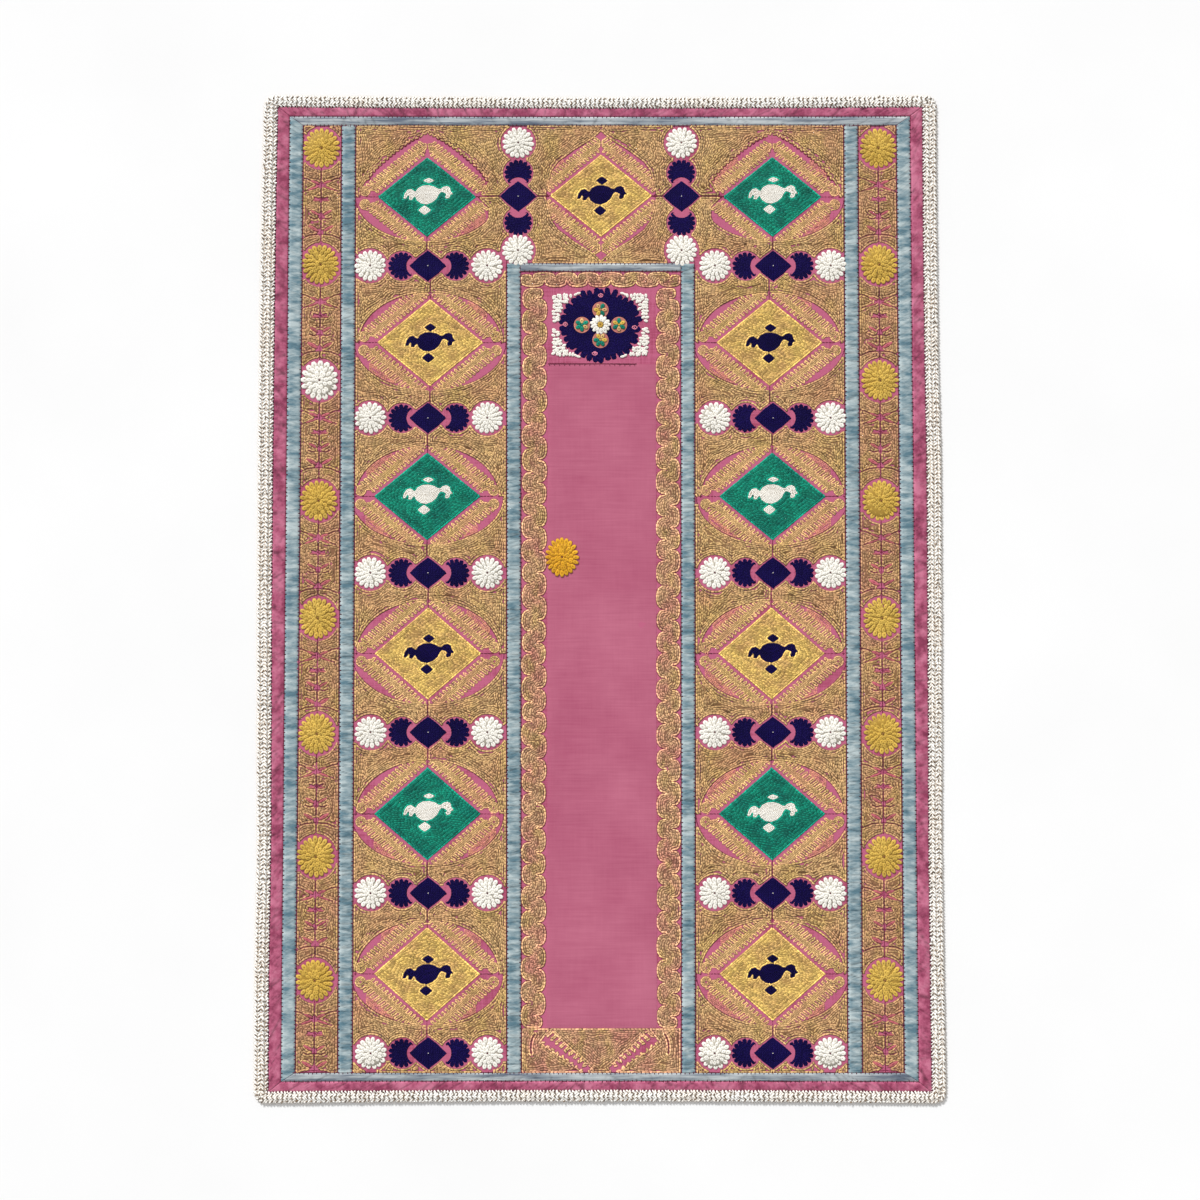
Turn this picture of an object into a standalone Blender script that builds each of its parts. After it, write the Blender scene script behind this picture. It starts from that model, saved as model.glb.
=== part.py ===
"""Suzani embroidered textile, lying flat with its face up.

A pink ground cloth carries the embroidery, whose thickest motifs are raised in its top face. A plain
panel, blue tapes and deep pink border strips are sewn on it, and a plaited braid runs round its edge.
Metres, +Z up, the head of the niche towards +Y, the underside at z = 0 and the middle at the origin.
"""

from math import cos, pi, radians, sin

import bmesh
import bpy
from mathutils import Matrix, Vector
from mathutils.geometry import delaunay_2d_cdt

# Driving dimensions
HALF_WIDTH = 0.540
HALF_LENGTH = 0.800
SEAM_GAP = 0.0003

# Thickness of each layer
CLOTH_THICK = 0.0014
PANEL_THICK = 0.0012
STRIP_THICK = 0.0011
TAPE_THICK = 0.0010
LAYER_Z = CLOTH_THICK + SEAM_GAP

# Braid: its reach in from the edge at the sides and ends, and the share of it that is clear of the cloth
BRAID_SIDE, BRAID_END = 0.0205, 0.0160
LAP_SHARE = 0.66
CORNER_RADIUS, INNER_RADIUS = 0.0160, 0.0005
BRAID_SECTION = (  # share of the reach, height
    (0.00, 0.0),
    (0.00, 0.0022),
    (0.14, 0.0040),
    (0.42, 0.0046),
    (0.76, 0.0042),
    (1.00, 0.0028),
    (1.00, LAYER_Z),
    (LAP_SHARE, LAYER_Z),
    (LAP_SHARE, 0.0),
)

# Border strips and outer tapes: widths at the sides, the head and the foot
BORDER_SIDE, BORDER_HEAD, BORDER_FOOT = 0.0208, 0.0166, 0.0166
TAPE_SIDE, TAPE_HEAD, TAPE_FOOT = 0.0210, 0.0146, 0.0132

# The sides bow out and in. A row every 0.2 m up from the foot: left and right reach beyond HALF_WIDTH
BOW_PITCH = 0.2
SIDE_BOW = (
    (0.0000, 0.0015),
    (0.0010, 0.0000),
    (-0.0010, -0.0010),
    (0.0010, 0.0010),
    (0.0030, 0.0026),
    (0.0035, 0.0035),
    (0.0030, 0.0005),
    (0.0020, 0.0000),
    (-0.0010, 0.0010),
)
END_DIP = 0.0035
BOW_FADE = 0.045
SIDE_STEPS, END_STEPS, CORNER_STEPS = 32, 22, 4

# Heights above the foot edge: the inner lines of the frame, and the tape across the niche's head
FOOT_TAPE_IN = BRAID_END + BORDER_FOOT + SEAM_GAP + TAPE_FOOT
HEAD_TAPE_IN = 2 * HALF_LENGTH - (BRAID_END + BORDER_HEAD + SEAM_GAP + TAPE_HEAD)
NICHE_HEAD, NICHE_HEAD_LOW = 1.3278, 1.3154

# Tapes inside the frame: name, x of the left edge at the head and at the foot, width, top end
UPRIGHT_TAPES = (
    ("inner_tape_left", -0.4145, -0.4090, 0.0212, HEAD_TAPE_IN),
    ("niche_tape_left", -0.1492, -0.1445, 0.0210, NICHE_HEAD),
    ("niche_tape_right", 0.1308, 0.1285, 0.0206, NICHE_HEAD),
    ("inner_tape_right", 0.3932, 0.3890, 0.0212, HEAD_TAPE_IN),
)
NICHE_LEFT, NICHE_RIGHT = -0.1268, 0.1299

# Centre field panel, and the folded hem along its head edge
FIELD_LEFT, FIELD_RIGHT, FIELD_FOOT, FIELD_HEAD = -0.0830, 0.0895, 0.1156, 1.1655
HEM_WIDTH, HEM_RISE, HEM_MARGIN = 0.0060, 0.0007, 0.0010

# Embroidery raised in a top face
RELIEF, KNOB, KNOB_SHARE = 0.0009, 0.0018, 0.30
VINE_X = 0.447
VINE_ROSETTE_Y = (1.515, 1.326, 1.139, 0.946, 0.759, 0.576, 0.383, 0.190)
VINE_ROSETTE_R = (0.0285, 0.0300)
PALE_ROSETTE_R = (0.0222, 0.0222)
FIELD_ROSETTE, FIELD_ROSETTE_R = (-0.0555, 0.856), (0.0250, 0.0290)
NAVY_LOZENGE_R = (0.0290, 0.0245)
CRESCENT_R = (0.0205, 0.0230)

# Bird lozenges: height above the foot, distance from the middle, half width, half height
LOZENGES = (
    (1.436, 0.2770, 0.0790, 0.065),
    (1.200, 0.2710, 0.0850, 0.070),
    (0.953, 0.2745, 0.0850, 0.070),
    (0.703, 0.2720, 0.0845, 0.073),
    (0.450, 0.2715, 0.0840, 0.073),
    (0.200, 0.2710, 0.0835, 0.073),
)
HEAD_LOZENGE = (1.438, 0.002, 0.082, 0.067)

# Bands of small motifs between the lozenges: heights, the column's middle, offsets from it
BAND_Y = (1.324, 1.0785, 0.831, 0.5785, 0.326, 0.0770)
BAND_X, ROSETTE_OFF, CRESCENT_OFF = 0.273, 0.0915, 0.0430

# The same motifs stacked at both sides of the head lozenge: heights
STACK_X, STACK_LOZENGE_Y = 0.131, 1.437
STACK_ROSETTE_Y, STACK_CRESCENT_Y = (1.524, 1.3515), (1.475, 1.395)

# Medallion: middle, then the radii of its navy ring and of the worked middle inside it
MEDALLION = (0.001, 1.2285)
RING_OUT, RING_CREST, RING_IN = (0.0640, 0.0575), (0.0570, 0.0508), (0.0500, 0.0440)
DAISY_R = (0.0170, 0.0170)


def clear_scene():
    for thing in list(bpy.data.objects):
        bpy.data.objects.remove(thing, do_unlink=True)


def finish_of(name, colour, roughness):
    """A material with the piece's colour and roughness."""
    finish = bpy.data.materials.new(name)
    finish.use_nodes = True
    shader = finish.node_tree.nodes["Principled BSDF"]
    shader.inputs["Base Color"].default_value = (*colour, 1.0)
    shader.inputs["Roughness"].default_value = roughness
    shader.inputs["Metallic"].default_value = 0.0
    return finish


def place(name, bm, finish):
    """The named object made from a closed bmesh, its faces turned outwards."""
    bmesh.ops.recalc_face_normals(bm, faces=bm.faces)
    mesh = bpy.data.meshes.new(name)
    bm.to_mesh(mesh)
    bm.free()
    mesh.materials.append(finish)
    thing = bpy.data.objects.new(name, mesh)
    bpy.context.collection.objects.link(thing)
    return thing


def spots(low, high, steps):
    """Evenly spaced values from low to high, both included."""
    return [low + (high - low) * i / steps for i in range(steps + 1)]


def side_bow(side, height):
    """How far the left (-1) or right (+1) edge reaches beyond HALF_WIDTH, eased between the rows."""
    column = 0 if side < 0 else 1
    along = min(max(height, 0.0) / BOW_PITCH, len(SIDE_BOW) - 1)
    row = min(int(along), len(SIDE_BOW) - 2)
    part = along - row
    ease = part * part * (3 - 2 * part)
    return SIDE_BOW[row][column] * (1 - ease) + SIDE_BOW[row + 1][column] * ease


def side_x(side, inset, y):
    """The x of a line that runs down a side at this inset. Its bow fades towards the inside."""
    fade = max(0.0, 1 - inset / BOW_FADE)
    return side * (HALF_WIDTH - inset + side_bow(side, y + HALF_LENGTH) * fade)


def end_y(end, inset, x):
    """The y of a line across the head (+1) or foot (-1) at this inset, dipping at its middle."""
    fade = max(0.0, 1 - inset / BOW_FADE)
    return end * (HALF_LENGTH - inset - END_DIP * fade * (1 - (x / HALF_WIDTH) ** 2))


def corner(side, end, side_inset, end_inset):
    """Where a side line and an end line meet."""
    x = side_x(side, side_inset, end * (HALF_LENGTH - end_inset))
    return x, end_y(end, end_inset, x)


def ladder(name, first, second, thick, finish):
    """A closed strip between two lines of as many points, lying on the ground cloth."""
    top = LAYER_Z + thick
    bm = bmesh.new()
    rings = [
        [bm.verts.new(p) for p in ((*a, LAYER_Z), (*b, LAYER_Z), (*b, top), (*a, top))]
        for a, b in zip(first, second)
    ]
    for one, two in zip(rings, rings[1:]):
        for i in range(4):
            j = (i + 1) % 4
            bm.faces.new((one[i], one[j], two[j], two[i]))
    bm.faces.new(rings[0])
    bm.faces.new(reversed(rings[-1]))
    return place(name, bm, finish)


def side_strip(name, side, outer, inner, thick, finish):
    """A strip down one side, mitred. outer and inner are insets at the side, the head and the foot."""
    lines = []
    for at_side, at_head, at_foot in (outer, inner):
        foot = corner(side, -1, at_side, at_foot)
        head = corner(side, 1, at_side, at_head)
        between = spots(foot[1], head[1], SIDE_STEPS)[1:-1]
        lines.append([foot, *((side_x(side, at_side, y), y) for y in between), head])
    return ladder(name, *lines, thick, finish)


def end_strip(name, end, outer, inner, thick, finish):
    """A strip across the head or foot, mitred a seam's gap short of the side strips."""
    lines = []
    for at_side, at_end in (outer, inner):
        left = corner(-1, end, at_side, at_end)[0] + 2 * SEAM_GAP
        right = corner(1, end, at_side, at_end)[0] - 2 * SEAM_GAP
        lines.append([(x, end_y(end, at_end, x)) for x in spots(left, right, END_STEPS)])
    return ladder(name, *lines, thick, finish)


def framing(name, outer, inner, thick, finish):
    """Four mitred strips round the cloth. outer and inner are insets at the side, head and foot."""
    for side, hand in ((-1, "left"), (1, "right")):
        side_strip(f"{name}_{hand}", side, outer, inner, thick, finish)
    for end, where, column in ((1, "top", 1), (-1, "bottom", 2)):
        lines = (outer[0], outer[column]), (inner[0], inner[column])
        end_strip(f"{name}_{where}", end, *lines, thick, finish)


def inner_tapes(finish):
    """The upright tapes, which lean a little, and the short one across the head of the niche."""
    for name, at_head, at_foot, width, top in UPRIGHT_TAPES:
        left = []
        for height in spots(FOOT_TAPE_IN + SEAM_GAP, top - SEAM_GAP, SIDE_STEPS):
            lean = (at_head - at_foot) * height / (2 * HALF_LENGTH)
            left.append((at_foot + lean, height - HALF_LENGTH))
        ladder(name, left, [(x + width, y) for x, y in left], TAPE_THICK, finish)
    across = spots(NICHE_LEFT, NICHE_RIGHT, 6)
    high, low = ([(x, y - HALF_LENGTH) for x in across] for y in (NICHE_HEAD, NICHE_HEAD_LOW))
    ladder("niche_tape_head", low, high, TAPE_THICK, finish)


def oval(centre, radii, count):
    """Points round an ellipse."""
    turns = (2 * pi * i / count for i in range(count))
    return [(centre[0] + radii[0] * cos(turn), centre[1] + radii[1] * sin(turn)) for turn in turns]


def shrunk(points, centre, share):
    """An outline drawn in towards a point."""
    return [(centre[0] + (x - centre[0]) * share, centre[1] + (y - centre[1]) * share) for x, y in points]


def rosette(x, height, radii, count):
    """A looped rosette: its rim, a swelling ring and the knob at its middle."""
    centre = (x, height - HALF_LENGTH)
    rim = oval(centre, radii, count)
    knob = oval(centre, (radii[0] * KNOB_SHARE, radii[1] * KNOB_SHARE), count // 2)
    return [(rim, 0.0), (shrunk(rim, centre, 0.78), RELIEF), (knob, KNOB)]


def lozenge(x, height, radii, top_share):
    """A lozenge with slightly full sides and a flat raised top."""
    centre = (x, height - HALF_LENGTH)
    full = 1.06
    rim = []
    for i in range(8):
        turn = radians(45 * i)
        reach = 1.0 if i % 2 == 0 else full / (abs(cos(turn)) + abs(sin(turn)))
        rim.append((centre[0] + radii[0] * reach * cos(turn), centre[1] + radii[1] * reach * sin(turn)))
    return [(rim, 0.0), (shrunk(rim, centre, top_share), RELIEF)]


def crescent(x, height, facing):
    """A fan with a hollow side. facing is the way the hollow looks, in degrees."""
    centre = Vector((x, height - HALF_LENGTH))
    spin = Matrix.Rotation(radians(facing), 2)
    fan = [radians(angle) for angle in range(50, 311, 26)]
    rim = [Vector((CRESCENT_R[0] * cos(turn), CRESCENT_R[1] * sin(turn))) for turn in fan]
    rim.append(Vector((CRESCENT_R[0] * 0.12, 0.0)))
    rim = [tuple(centre + spin @ point) for point in rim]
    heart = centre + spin @ Vector((-CRESCENT_R[0] * 0.45, 0.0))
    return [(rim, 0.0), (shrunk(rim, heart, 0.72), RELIEF)]


def medallion():
    """The medallion's navy ring, crested between its two rims, and the daisy in the hollow."""
    centre = (MEDALLION[0], MEDALLION[1] - HALF_LENGTH)
    rings = [(RING_OUT, 24, 0.0), (RING_CREST, 24, RELIEF), (RING_IN, 20, 0.0), (DAISY_R, 10, RELIEF)]
    return [(oval(centre, radii, count), rise) for radii, count, rise in rings]


def column_motifs(side):
    """The raised motifs of one side: vine rosettes, bird lozenges, bands and the stack at the head."""
    shapes = [rosette(side * VINE_X, y, VINE_ROSETTE_R, 14) for y in VINE_ROSETTE_Y]
    shapes += [lozenge(side * x, y, (wide, high), 0.90) for y, x, wide, high in LOZENGES]
    middle = side * BAND_X
    for y in BAND_Y:
        shapes.append(lozenge(middle, y, NAVY_LOZENGE_R, 0.80))
        for hand, facing in ((-1, 0), (1, 180)):
            shapes.append(rosette(middle + hand * ROSETTE_OFF, y, PALE_ROSETTE_R, 12))
            shapes.append(crescent(middle + hand * CRESCENT_OFF, y, facing))
    shapes.append(lozenge(side * STACK_X, STACK_LOZENGE_Y, NAVY_LOZENGE_R, 0.80))
    shapes += [rosette(side * STACK_X, y, PALE_ROSETTE_R, 12) for y in STACK_ROSETTE_Y]
    shapes += [crescent(side * STACK_X, y, facing) for y, facing in zip(STACK_CRESCENT_Y, (-90, 90))]
    return shapes


def relief_sheet(name, outline, low, high, shapes, finish):
    """A sheet whose top face rises over the shapes. A shape is a list of closed loops and their rises."""
    points, edges, heights = [], [], []
    for loop, rise in [(outline, 0.0), *(ring for shape in shapes for ring in shape)]:
        start, count = len(points), len(loop)
        points += [Vector(point) for point in loop]
        heights += [high + rise] * count
        edges += [(start + i, start + (i + 1) % count) for i in range(count)]
    flat, _, faces, sources, _, _ = delaunay_2d_cdt(points, edges, [], 1, 1e-7)
    bm = bmesh.new()
    top = [bm.verts.new((point.x, point.y, heights[came[0]])) for point, came in zip(flat, sources)]
    for face in faces:
        bm.faces.new([top[i] for i in face])
    made_from = {source: vert for vert, came in zip(top, sources) for source in came}
    border = [made_from[i] for i in range(len(outline))]
    below = [bm.verts.new((vert.co.x, vert.co.y, low)) for vert in border]
    for i, vert in enumerate(border):
        j = (i + 1) % len(border)
        bm.faces.new((vert, border[j], below[j], below[i]))
    bm.faces.new(below)
    return place(name, bm, finish)


def edge_ring(share, gap=0.0):
    """The cloth's rounded outline drawn in by a share of the braid's reach, anticlockwise."""
    side_inset, end_inset = BRAID_SIDE * share + gap, BRAID_END * share + gap
    radius = CORNER_RADIUS * (1 - share) + INNER_RADIUS
    far_x, far_y = HALF_WIDTH - side_inset - radius, HALF_LENGTH - end_inset - radius
    ring = []
    for side, end, start in ((1, 1, 0), (-1, 1, 90), (-1, -1, 180), (1, -1, 270)):
        for angle in spots(start, start + 90, CORNER_STEPS):
            x = side * far_x + radius * cos(radians(angle))
            y = end * far_y + radius * sin(radians(angle))
            bow = side_x(side, side_inset, y) - side * (HALF_WIDTH - side_inset)
            dip = end_y(end, end_inset, x) - end * (HALF_LENGTH - end_inset)
            ring.append((x + bow, y + dip))
        if side == end:
            line = spots(side * far_x, -side * far_x, END_STEPS)[1:-1]
            ring += [(x, end_y(end, end_inset, x)) for x in line]
        else:
            line = spots(end * far_y, -end * far_y, SIDE_STEPS)[1:-1]
            ring += [(side_x(side, side_inset, y), y) for y in line]
    return ring


def edge_braid(finish):
    """The braid: its section swept round the cloth's edge, standing beside it and lapping over it."""
    bm = bmesh.new()
    loops = [[bm.verts.new((*point, height)) for point in edge_ring(share)] for share, height in BRAID_SECTION]
    for i, one in enumerate(loops):
        two = loops[(i + 1) % len(loops)]
        for j in range(len(one)):
            k = (j + 1) % len(one)
            bm.faces.new((one[j], one[k], two[k], two[j]))
    return place("edge_braid", bm, finish)


def ground_cloth(finish):
    shapes = column_motifs(-1) + column_motifs(1) + [medallion()]
    height, x, wide, high = HEAD_LOZENGE
    shapes.append(lozenge(x, height, (wide, high), 0.90))
    return relief_sheet("ground_cloth", edge_ring(LAP_SHARE, SEAM_GAP), 0.0, CLOTH_THICK, shapes, finish)


def centre_field_panel(finish):
    """The plain panel of the niche, with its head edge folded under and one rosette worked on it."""
    foot, head = FIELD_FOOT - HALF_LENGTH, FIELD_HEAD - HALF_LENGTH
    outline = [(FIELD_LEFT, foot), (FIELD_RIGHT, foot), (FIELD_RIGHT, head), (FIELD_LEFT, head)]
    left, right = FIELD_LEFT + HEM_MARGIN, FIELD_RIGHT - HEM_MARGIN
    low, high = head - HEM_WIDTH, head - HEM_MARGIN
    hem = [([(left, low), (right, low), (right, high), (left, high)], HEM_RISE)]
    shapes = [hem, rosette(*FIELD_ROSETTE, FIELD_ROSETTE_R, 14)]
    return relief_sheet("centre_field_panel", outline, LAYER_Z, LAYER_Z + PANEL_THICK, shapes, finish)


def main():
    clear_scene()
    rose = finish_of("rose cotton", (0.53, 0.13, 0.23), 0.85)
    plain_rose = finish_of("plain rose cotton", (0.55, 0.14, 0.25), 0.80)
    silk = finish_of("deep rose silk", (0.45, 0.09, 0.20), 0.50)
    ribbon = finish_of("grey blue ribbon", (0.27, 0.39, 0.43), 0.55)
    ivory = finish_of("ivory braid", (0.72, 0.62, 0.52), 0.85)

    ground_cloth(rose)
    centre_field_panel(plain_rose)
    border_out = (BRAID_SIDE + SEAM_GAP, BRAID_END + SEAM_GAP, BRAID_END + SEAM_GAP)
    border_in = (BRAID_SIDE + BORDER_SIDE, BRAID_END + BORDER_HEAD, BRAID_END + BORDER_FOOT)
    framing("border_strip", border_out, border_in, STRIP_THICK, silk)
    tape_out = tuple(inset + SEAM_GAP for inset in border_in)
    tape_in = (tape_out[0] + TAPE_SIDE, tape_out[1] + TAPE_HEAD, tape_out[2] + TAPE_FOOT)
    framing("outer_tape", tape_out, tape_in, TAPE_THICK, ribbon)
    inner_tapes(ribbon)
    edge_braid(ivory)


main()
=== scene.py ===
from math import cos, hypot, pi, radians, sin

import bmesh
import bpy
import numpy as np
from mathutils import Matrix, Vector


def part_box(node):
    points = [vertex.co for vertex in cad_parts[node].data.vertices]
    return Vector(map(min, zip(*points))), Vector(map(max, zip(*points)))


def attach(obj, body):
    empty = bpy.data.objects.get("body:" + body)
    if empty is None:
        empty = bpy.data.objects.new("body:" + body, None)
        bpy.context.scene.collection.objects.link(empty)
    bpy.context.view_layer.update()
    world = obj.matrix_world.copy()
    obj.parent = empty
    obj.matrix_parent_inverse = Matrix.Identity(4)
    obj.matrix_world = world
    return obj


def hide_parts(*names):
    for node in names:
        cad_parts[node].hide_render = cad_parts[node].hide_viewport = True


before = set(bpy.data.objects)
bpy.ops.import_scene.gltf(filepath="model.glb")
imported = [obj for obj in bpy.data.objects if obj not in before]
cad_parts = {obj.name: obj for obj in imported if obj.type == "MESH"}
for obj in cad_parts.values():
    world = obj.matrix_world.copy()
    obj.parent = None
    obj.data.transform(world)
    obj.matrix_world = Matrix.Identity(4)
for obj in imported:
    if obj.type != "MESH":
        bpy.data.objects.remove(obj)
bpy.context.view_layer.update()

# ---------------------------------------------------------------------------------------------------
# The place: the textile lies face up on a plain pale floor, with the camera nearly straight above it,
# leaning a little towards the head. Lengths are in metres, and +Y is towards the head of the niche.

CAMERA_RISE = 3.6
CAMERA_LEAN = radians(3.75)
VIEW_WIDTH = 1.904  # how much floor the picture is wide
AIM = (0.0003, -0.012)
SENSOR = 36.0
WINDOW_LIGHT = (3.5, 12, 60, 205)  # strength, then spread, tilt and turn in degrees
ROOM_BOUNCE = (0.35, 60, 25, 20)
ROOM_LIGHT = 0.42
LIGHT_LEVEL = 1.10  # what a flat white cloth sends back under all of it
FLOOR_REACH, FLOOR_DROP, FLOOR_BLOT = 12.0, 0.0004, 0.4
FLOOR_GREYS = ((0.3, (0.90, 0.90, 0.90)), (0.7, (0.93, 0.93, 0.93)))


def stood(name, data):
    """A new object in the scene, at the origin."""
    thing = bpy.data.objects.new(name, data)
    bpy.context.collection.objects.link(thing)
    return thing


def sun(name, strength, spread, tilt, turn):
    """A lamp as far off as the sun. Its angles are in degrees."""
    lamp = bpy.data.lights.new(name, "SUN")
    lamp.energy = strength
    lamp.angle = radians(spread)
    stood(name, lamp).rotation_euler = (radians(tilt), 0, radians(turn))


def adder(tree):
    """A function that adds a node to a tree. links gives each input a value or the output it takes."""

    def add(kind, links=(), **settings):
        node = tree.nodes.new(kind)
        for key, value in settings.items():
            setattr(node, key, value)
        for socket, source in links:
            if isinstance(source, bpy.types.NodeSocket):
                tree.links.new(source, node.inputs[socket])
            else:
                node.inputs[socket].default_value = source
        return node

    return add


def finish(name, roughness, sheen=0.0, gloss=0.2):
    """A new material, and the function that adds nodes to it."""
    made = bpy.data.materials.new(name)
    made.use_nodes = True
    inputs = made.node_tree.nodes["Principled BSDF"].inputs
    inputs["Roughness"].default_value = roughness
    inputs["Sheen Weight"].default_value = sheen
    inputs["Sheen Roughness"].default_value = 0.5
    inputs["Specular IOR Level"].default_value = gloss
    return made, adder(made.node_tree)


def to_shader(made, socket, output):
    """Feeds an output into a material's shader."""
    made.node_tree.links.new(output, made.node_tree.nodes["Principled BSDF"].inputs[socket])


def bumped(made, add, height, strength, deep):
    """Relief finer than the mesh. deep is in metres."""
    bump = add("ShaderNodeBump", [("Height", height), ("Strength", strength), ("Distance", deep)])
    to_shader(made, "Normal", bump.outputs["Normal"])


def dyed(red, green, blue, light=LIGHT_LEVEL):
    """The dye that looks like this screen colour in the room's light."""
    return tuple(min((part / 255) ** 2.2 / light, 1.0) for part in (red, green, blue))


def shades(add, amount, *stops):
    """A colour ramp on an amount. Each stop is its place and colour."""
    ramp = add("ShaderNodeValToRGB", [("Fac", amount)])
    elements = ramp.color_ramp.elements
    while len(elements) < len(stops):
        elements.new(0.5)
    for element, (place, colour) in zip(elements, stops):
        element.position = place
        element.color = (*colour, 1)
    return ramp.outputs["Color"]


def blotches(add, size, detail=3.0, roughness=0.55, stretch=(1, 1, 1)):
    """Noise on the object's own place whose blots are about this size in metres."""
    place = add("ShaderNodeTexCoord").outputs["Object"]
    laid = add("ShaderNodeMapping", [("Vector", place), ("Scale", stretch)])
    wanted = [("Vector", laid.outputs[0]), ("Scale", 1 / size), ("Detail", detail), ("Roughness", roughness)]
    return add("ShaderNodeTexNoise", wanted).outputs["Fac"]


camera = stood("camera", bpy.data.cameras.new("camera"))
camera.data.sensor_width = SENSOR
camera.data.lens = SENSOR * CAMERA_RISE / VIEW_WIDTH
camera.location = (AIM[0], AIM[1] - CAMERA_RISE * sin(CAMERA_LEAN), CAMERA_RISE * cos(CAMERA_LEAN))
camera.rotation_euler = (CAMERA_LEAN, 0, 0)
bpy.context.scene.camera = camera
bpy.context.scene.view_settings.view_transform = "Standard"

sun("window light", *WINDOW_LIGHT)
sun("room bounce", *ROOM_BOUNCE)
world = bpy.data.worlds.new("room")
world.use_nodes = True
air = world.node_tree.nodes["Background"].inputs
air["Color"].default_value = (1, 1, 1, 1)
air["Strength"].default_value = ROOM_LIGHT
bpy.context.scene.world = world

floor_paint, add = finish("pale floor", 0.9)
to_shader(floor_paint, "Base Color", shades(add, blotches(add, FLOOR_BLOT), *FLOOR_GREYS))
floor_mesh = bpy.data.meshes.new("floor")
corners = [(x * FLOOR_REACH, y * FLOOR_REACH, -FLOOR_DROP) for x, y in ((-1, -1), (1, -1), (1, 1), (-1, 1))]
floor_mesh.from_pydata(corners, [], [(0, 1, 2, 3)])
floor_mesh.materials.append(floor_paint)
floor = stood("floor", floor_mesh)

# ---------------------------------------------------------------------------------------------------
# Ground cloth: one rose cotton sheet, plain woven and a little puckered by the needlework. Everything
# else is worked or sewn on it, so its face's height, lie(x, y), is what the stitches stand on.

CLOTH = 0.0014
CLOTH_STEP = 0.0145
PUCKER, LOOSE_PUCKER = 0.00035, 0.00075
WRINKLE_SIZE, RIPPLE_SIZE, RIPPLE_LONG, RIPPLE_SHARE = 0.10, 0.034, 0.55, 0.8
HELD_X, HELD_Y, HELD_EASE = (0.139, 0.4005, 0.4885), 0.752, 0.014  # where the tapes hold the cloth flat
WAVES, WAVE_SIZES, WAVE_LEVEL = 7, (0.7, 1.5), 1.4
ROSE, ROSE_WORN = dyed(198, 102, 134), dyed(172, 76, 106)
THREADS, THREAD_RELIEF = 0.0011, 0.0006
WAVE_TURN = 0.314  # the scale at which the wave texture has one band a metre
SLUB_LONG, SLUB_ACROSS, SLUB_UPWARD = 0.07, (1, 26, 1), (26, 1, 1)


def wander(x, y, size, seed):
    """A smooth wander over the cloth, from about -1 to 1, whose bumps are about this size."""
    draws = np.random.default_rng(seed)
    total = 0.0
    for _ in range(WAVES):
        turn, shift = draws.uniform(0, 2 * pi, 2)
        rate = 2 * pi / (size * draws.uniform(*WAVE_SIZES))
        total = total + np.sin(rate * (x * cos(turn) + y * sin(turn)) + shift)
    return total / WAVES**0.5 / WAVE_LEVEL


def lie(x, y):
    """The height of the ground cloth's face: it puckers most in the worked panels, between the tapes."""
    x, y = np.asarray(x, float), np.asarray(y, float)
    from_tapes = [np.abs(np.abs(x) - held) for held in HELD_X]
    free = np.minimum.reduce([*from_tapes, HELD_Y - np.abs(y)]) - HELD_EASE
    held = (np.abs(x) < HELD_X[0]) | (np.abs(x) > HELD_X[-1])
    free = np.where(held, 0.0, np.clip(free / HELD_EASE, 0, 1))
    wrinkle = wander(x, y, WRINKLE_SIZE, 1) + RIPPLE_SHARE * wander(RIPPLE_LONG * x, y, RIPPLE_SIZE, 2)
    return CLOTH + PUCKER * (1 + 0.6 * wrinkle) + LOOSE_PUCKER * free * (0.6 + 0.5 * wrinkle)


def weave(name, colour, worn, slub=(1, 1), patch=0.11, ease=1.0):
    """Plain weave: fine threads both ways, slubs along them, and a faded, patchy dye."""
    made, add = finish(name, 0.85, 0.2)
    dye = blotches(add, patch, 4.0, 0.6)
    for share, way in zip(slub, (SLUB_ACROSS, SLUB_UPWARD)):
        wanted = [(0, blotches(add, SLUB_LONG, 2.0, stretch=way)), (1, 0.5 * share), (2, dye)]
        dye = add("ShaderNodeMath", wanted, operation="MULTIPLY_ADD").outputs[0]
    middle = 0.5 + 0.25 * (slub[0] + slub[1])
    tone = shades(add, dye, (middle - 0.2 * ease, worn), (middle + 0.15 * ease, colour))
    to_shader(made, "Base Color", tone)
    wanted = [("Vector", add("ShaderNodeTexCoord").outputs["Object"]), ("Scale", WAVE_TURN / THREADS)]
    yarns = [add("ShaderNodeTexWave", wanted, bands_direction=way).outputs["Fac"] for way in "XY"]
    grid = add("ShaderNodeMath", list(enumerate(yarns)), operation="MULTIPLY")
    high = add("ShaderNodeMath", [(0, grid.outputs[0]), (1, dye)], operation="ADD")
    bumped(made, add, high.outputs[0], 0.35, THREAD_RELIEF)
    return made


def low_points(node):
    """The points of a flat node's underside."""
    points = np.array([vertex.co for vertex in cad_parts[node].data.vertices])
    return np.unique(np.round(points[points[:, 2] < points[:, 2].min() + 1e-5], 6), axis=0)[:, :2]


def round_the_middle(points):
    """Points of an outline, in order round it."""
    from_middle = points[:, :2] - points[:, :2].mean(axis=0)
    return points[np.argsort(np.arctan2(from_middle[:, 1], from_middle[:, 0]))]


def smooth(mesh, on=True):
    """Shades a mesh smooth, or flat."""
    mesh.polygons.foreach_set("use_smooth", [on] * len(mesh.polygons))


def mesh_from(name, bm):
    """A new mesh from a finished bmesh."""
    mesh = bpy.data.meshes.new(name)
    bm.to_mesh(mesh)
    bm.free()
    return mesh


def made_of(name, mesh, cloth):
    """A piece of one cloth or thread, smooth, from its mesh."""
    smooth(mesh)
    mesh.materials.append(cloth)
    return stood(name, mesh)


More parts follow.
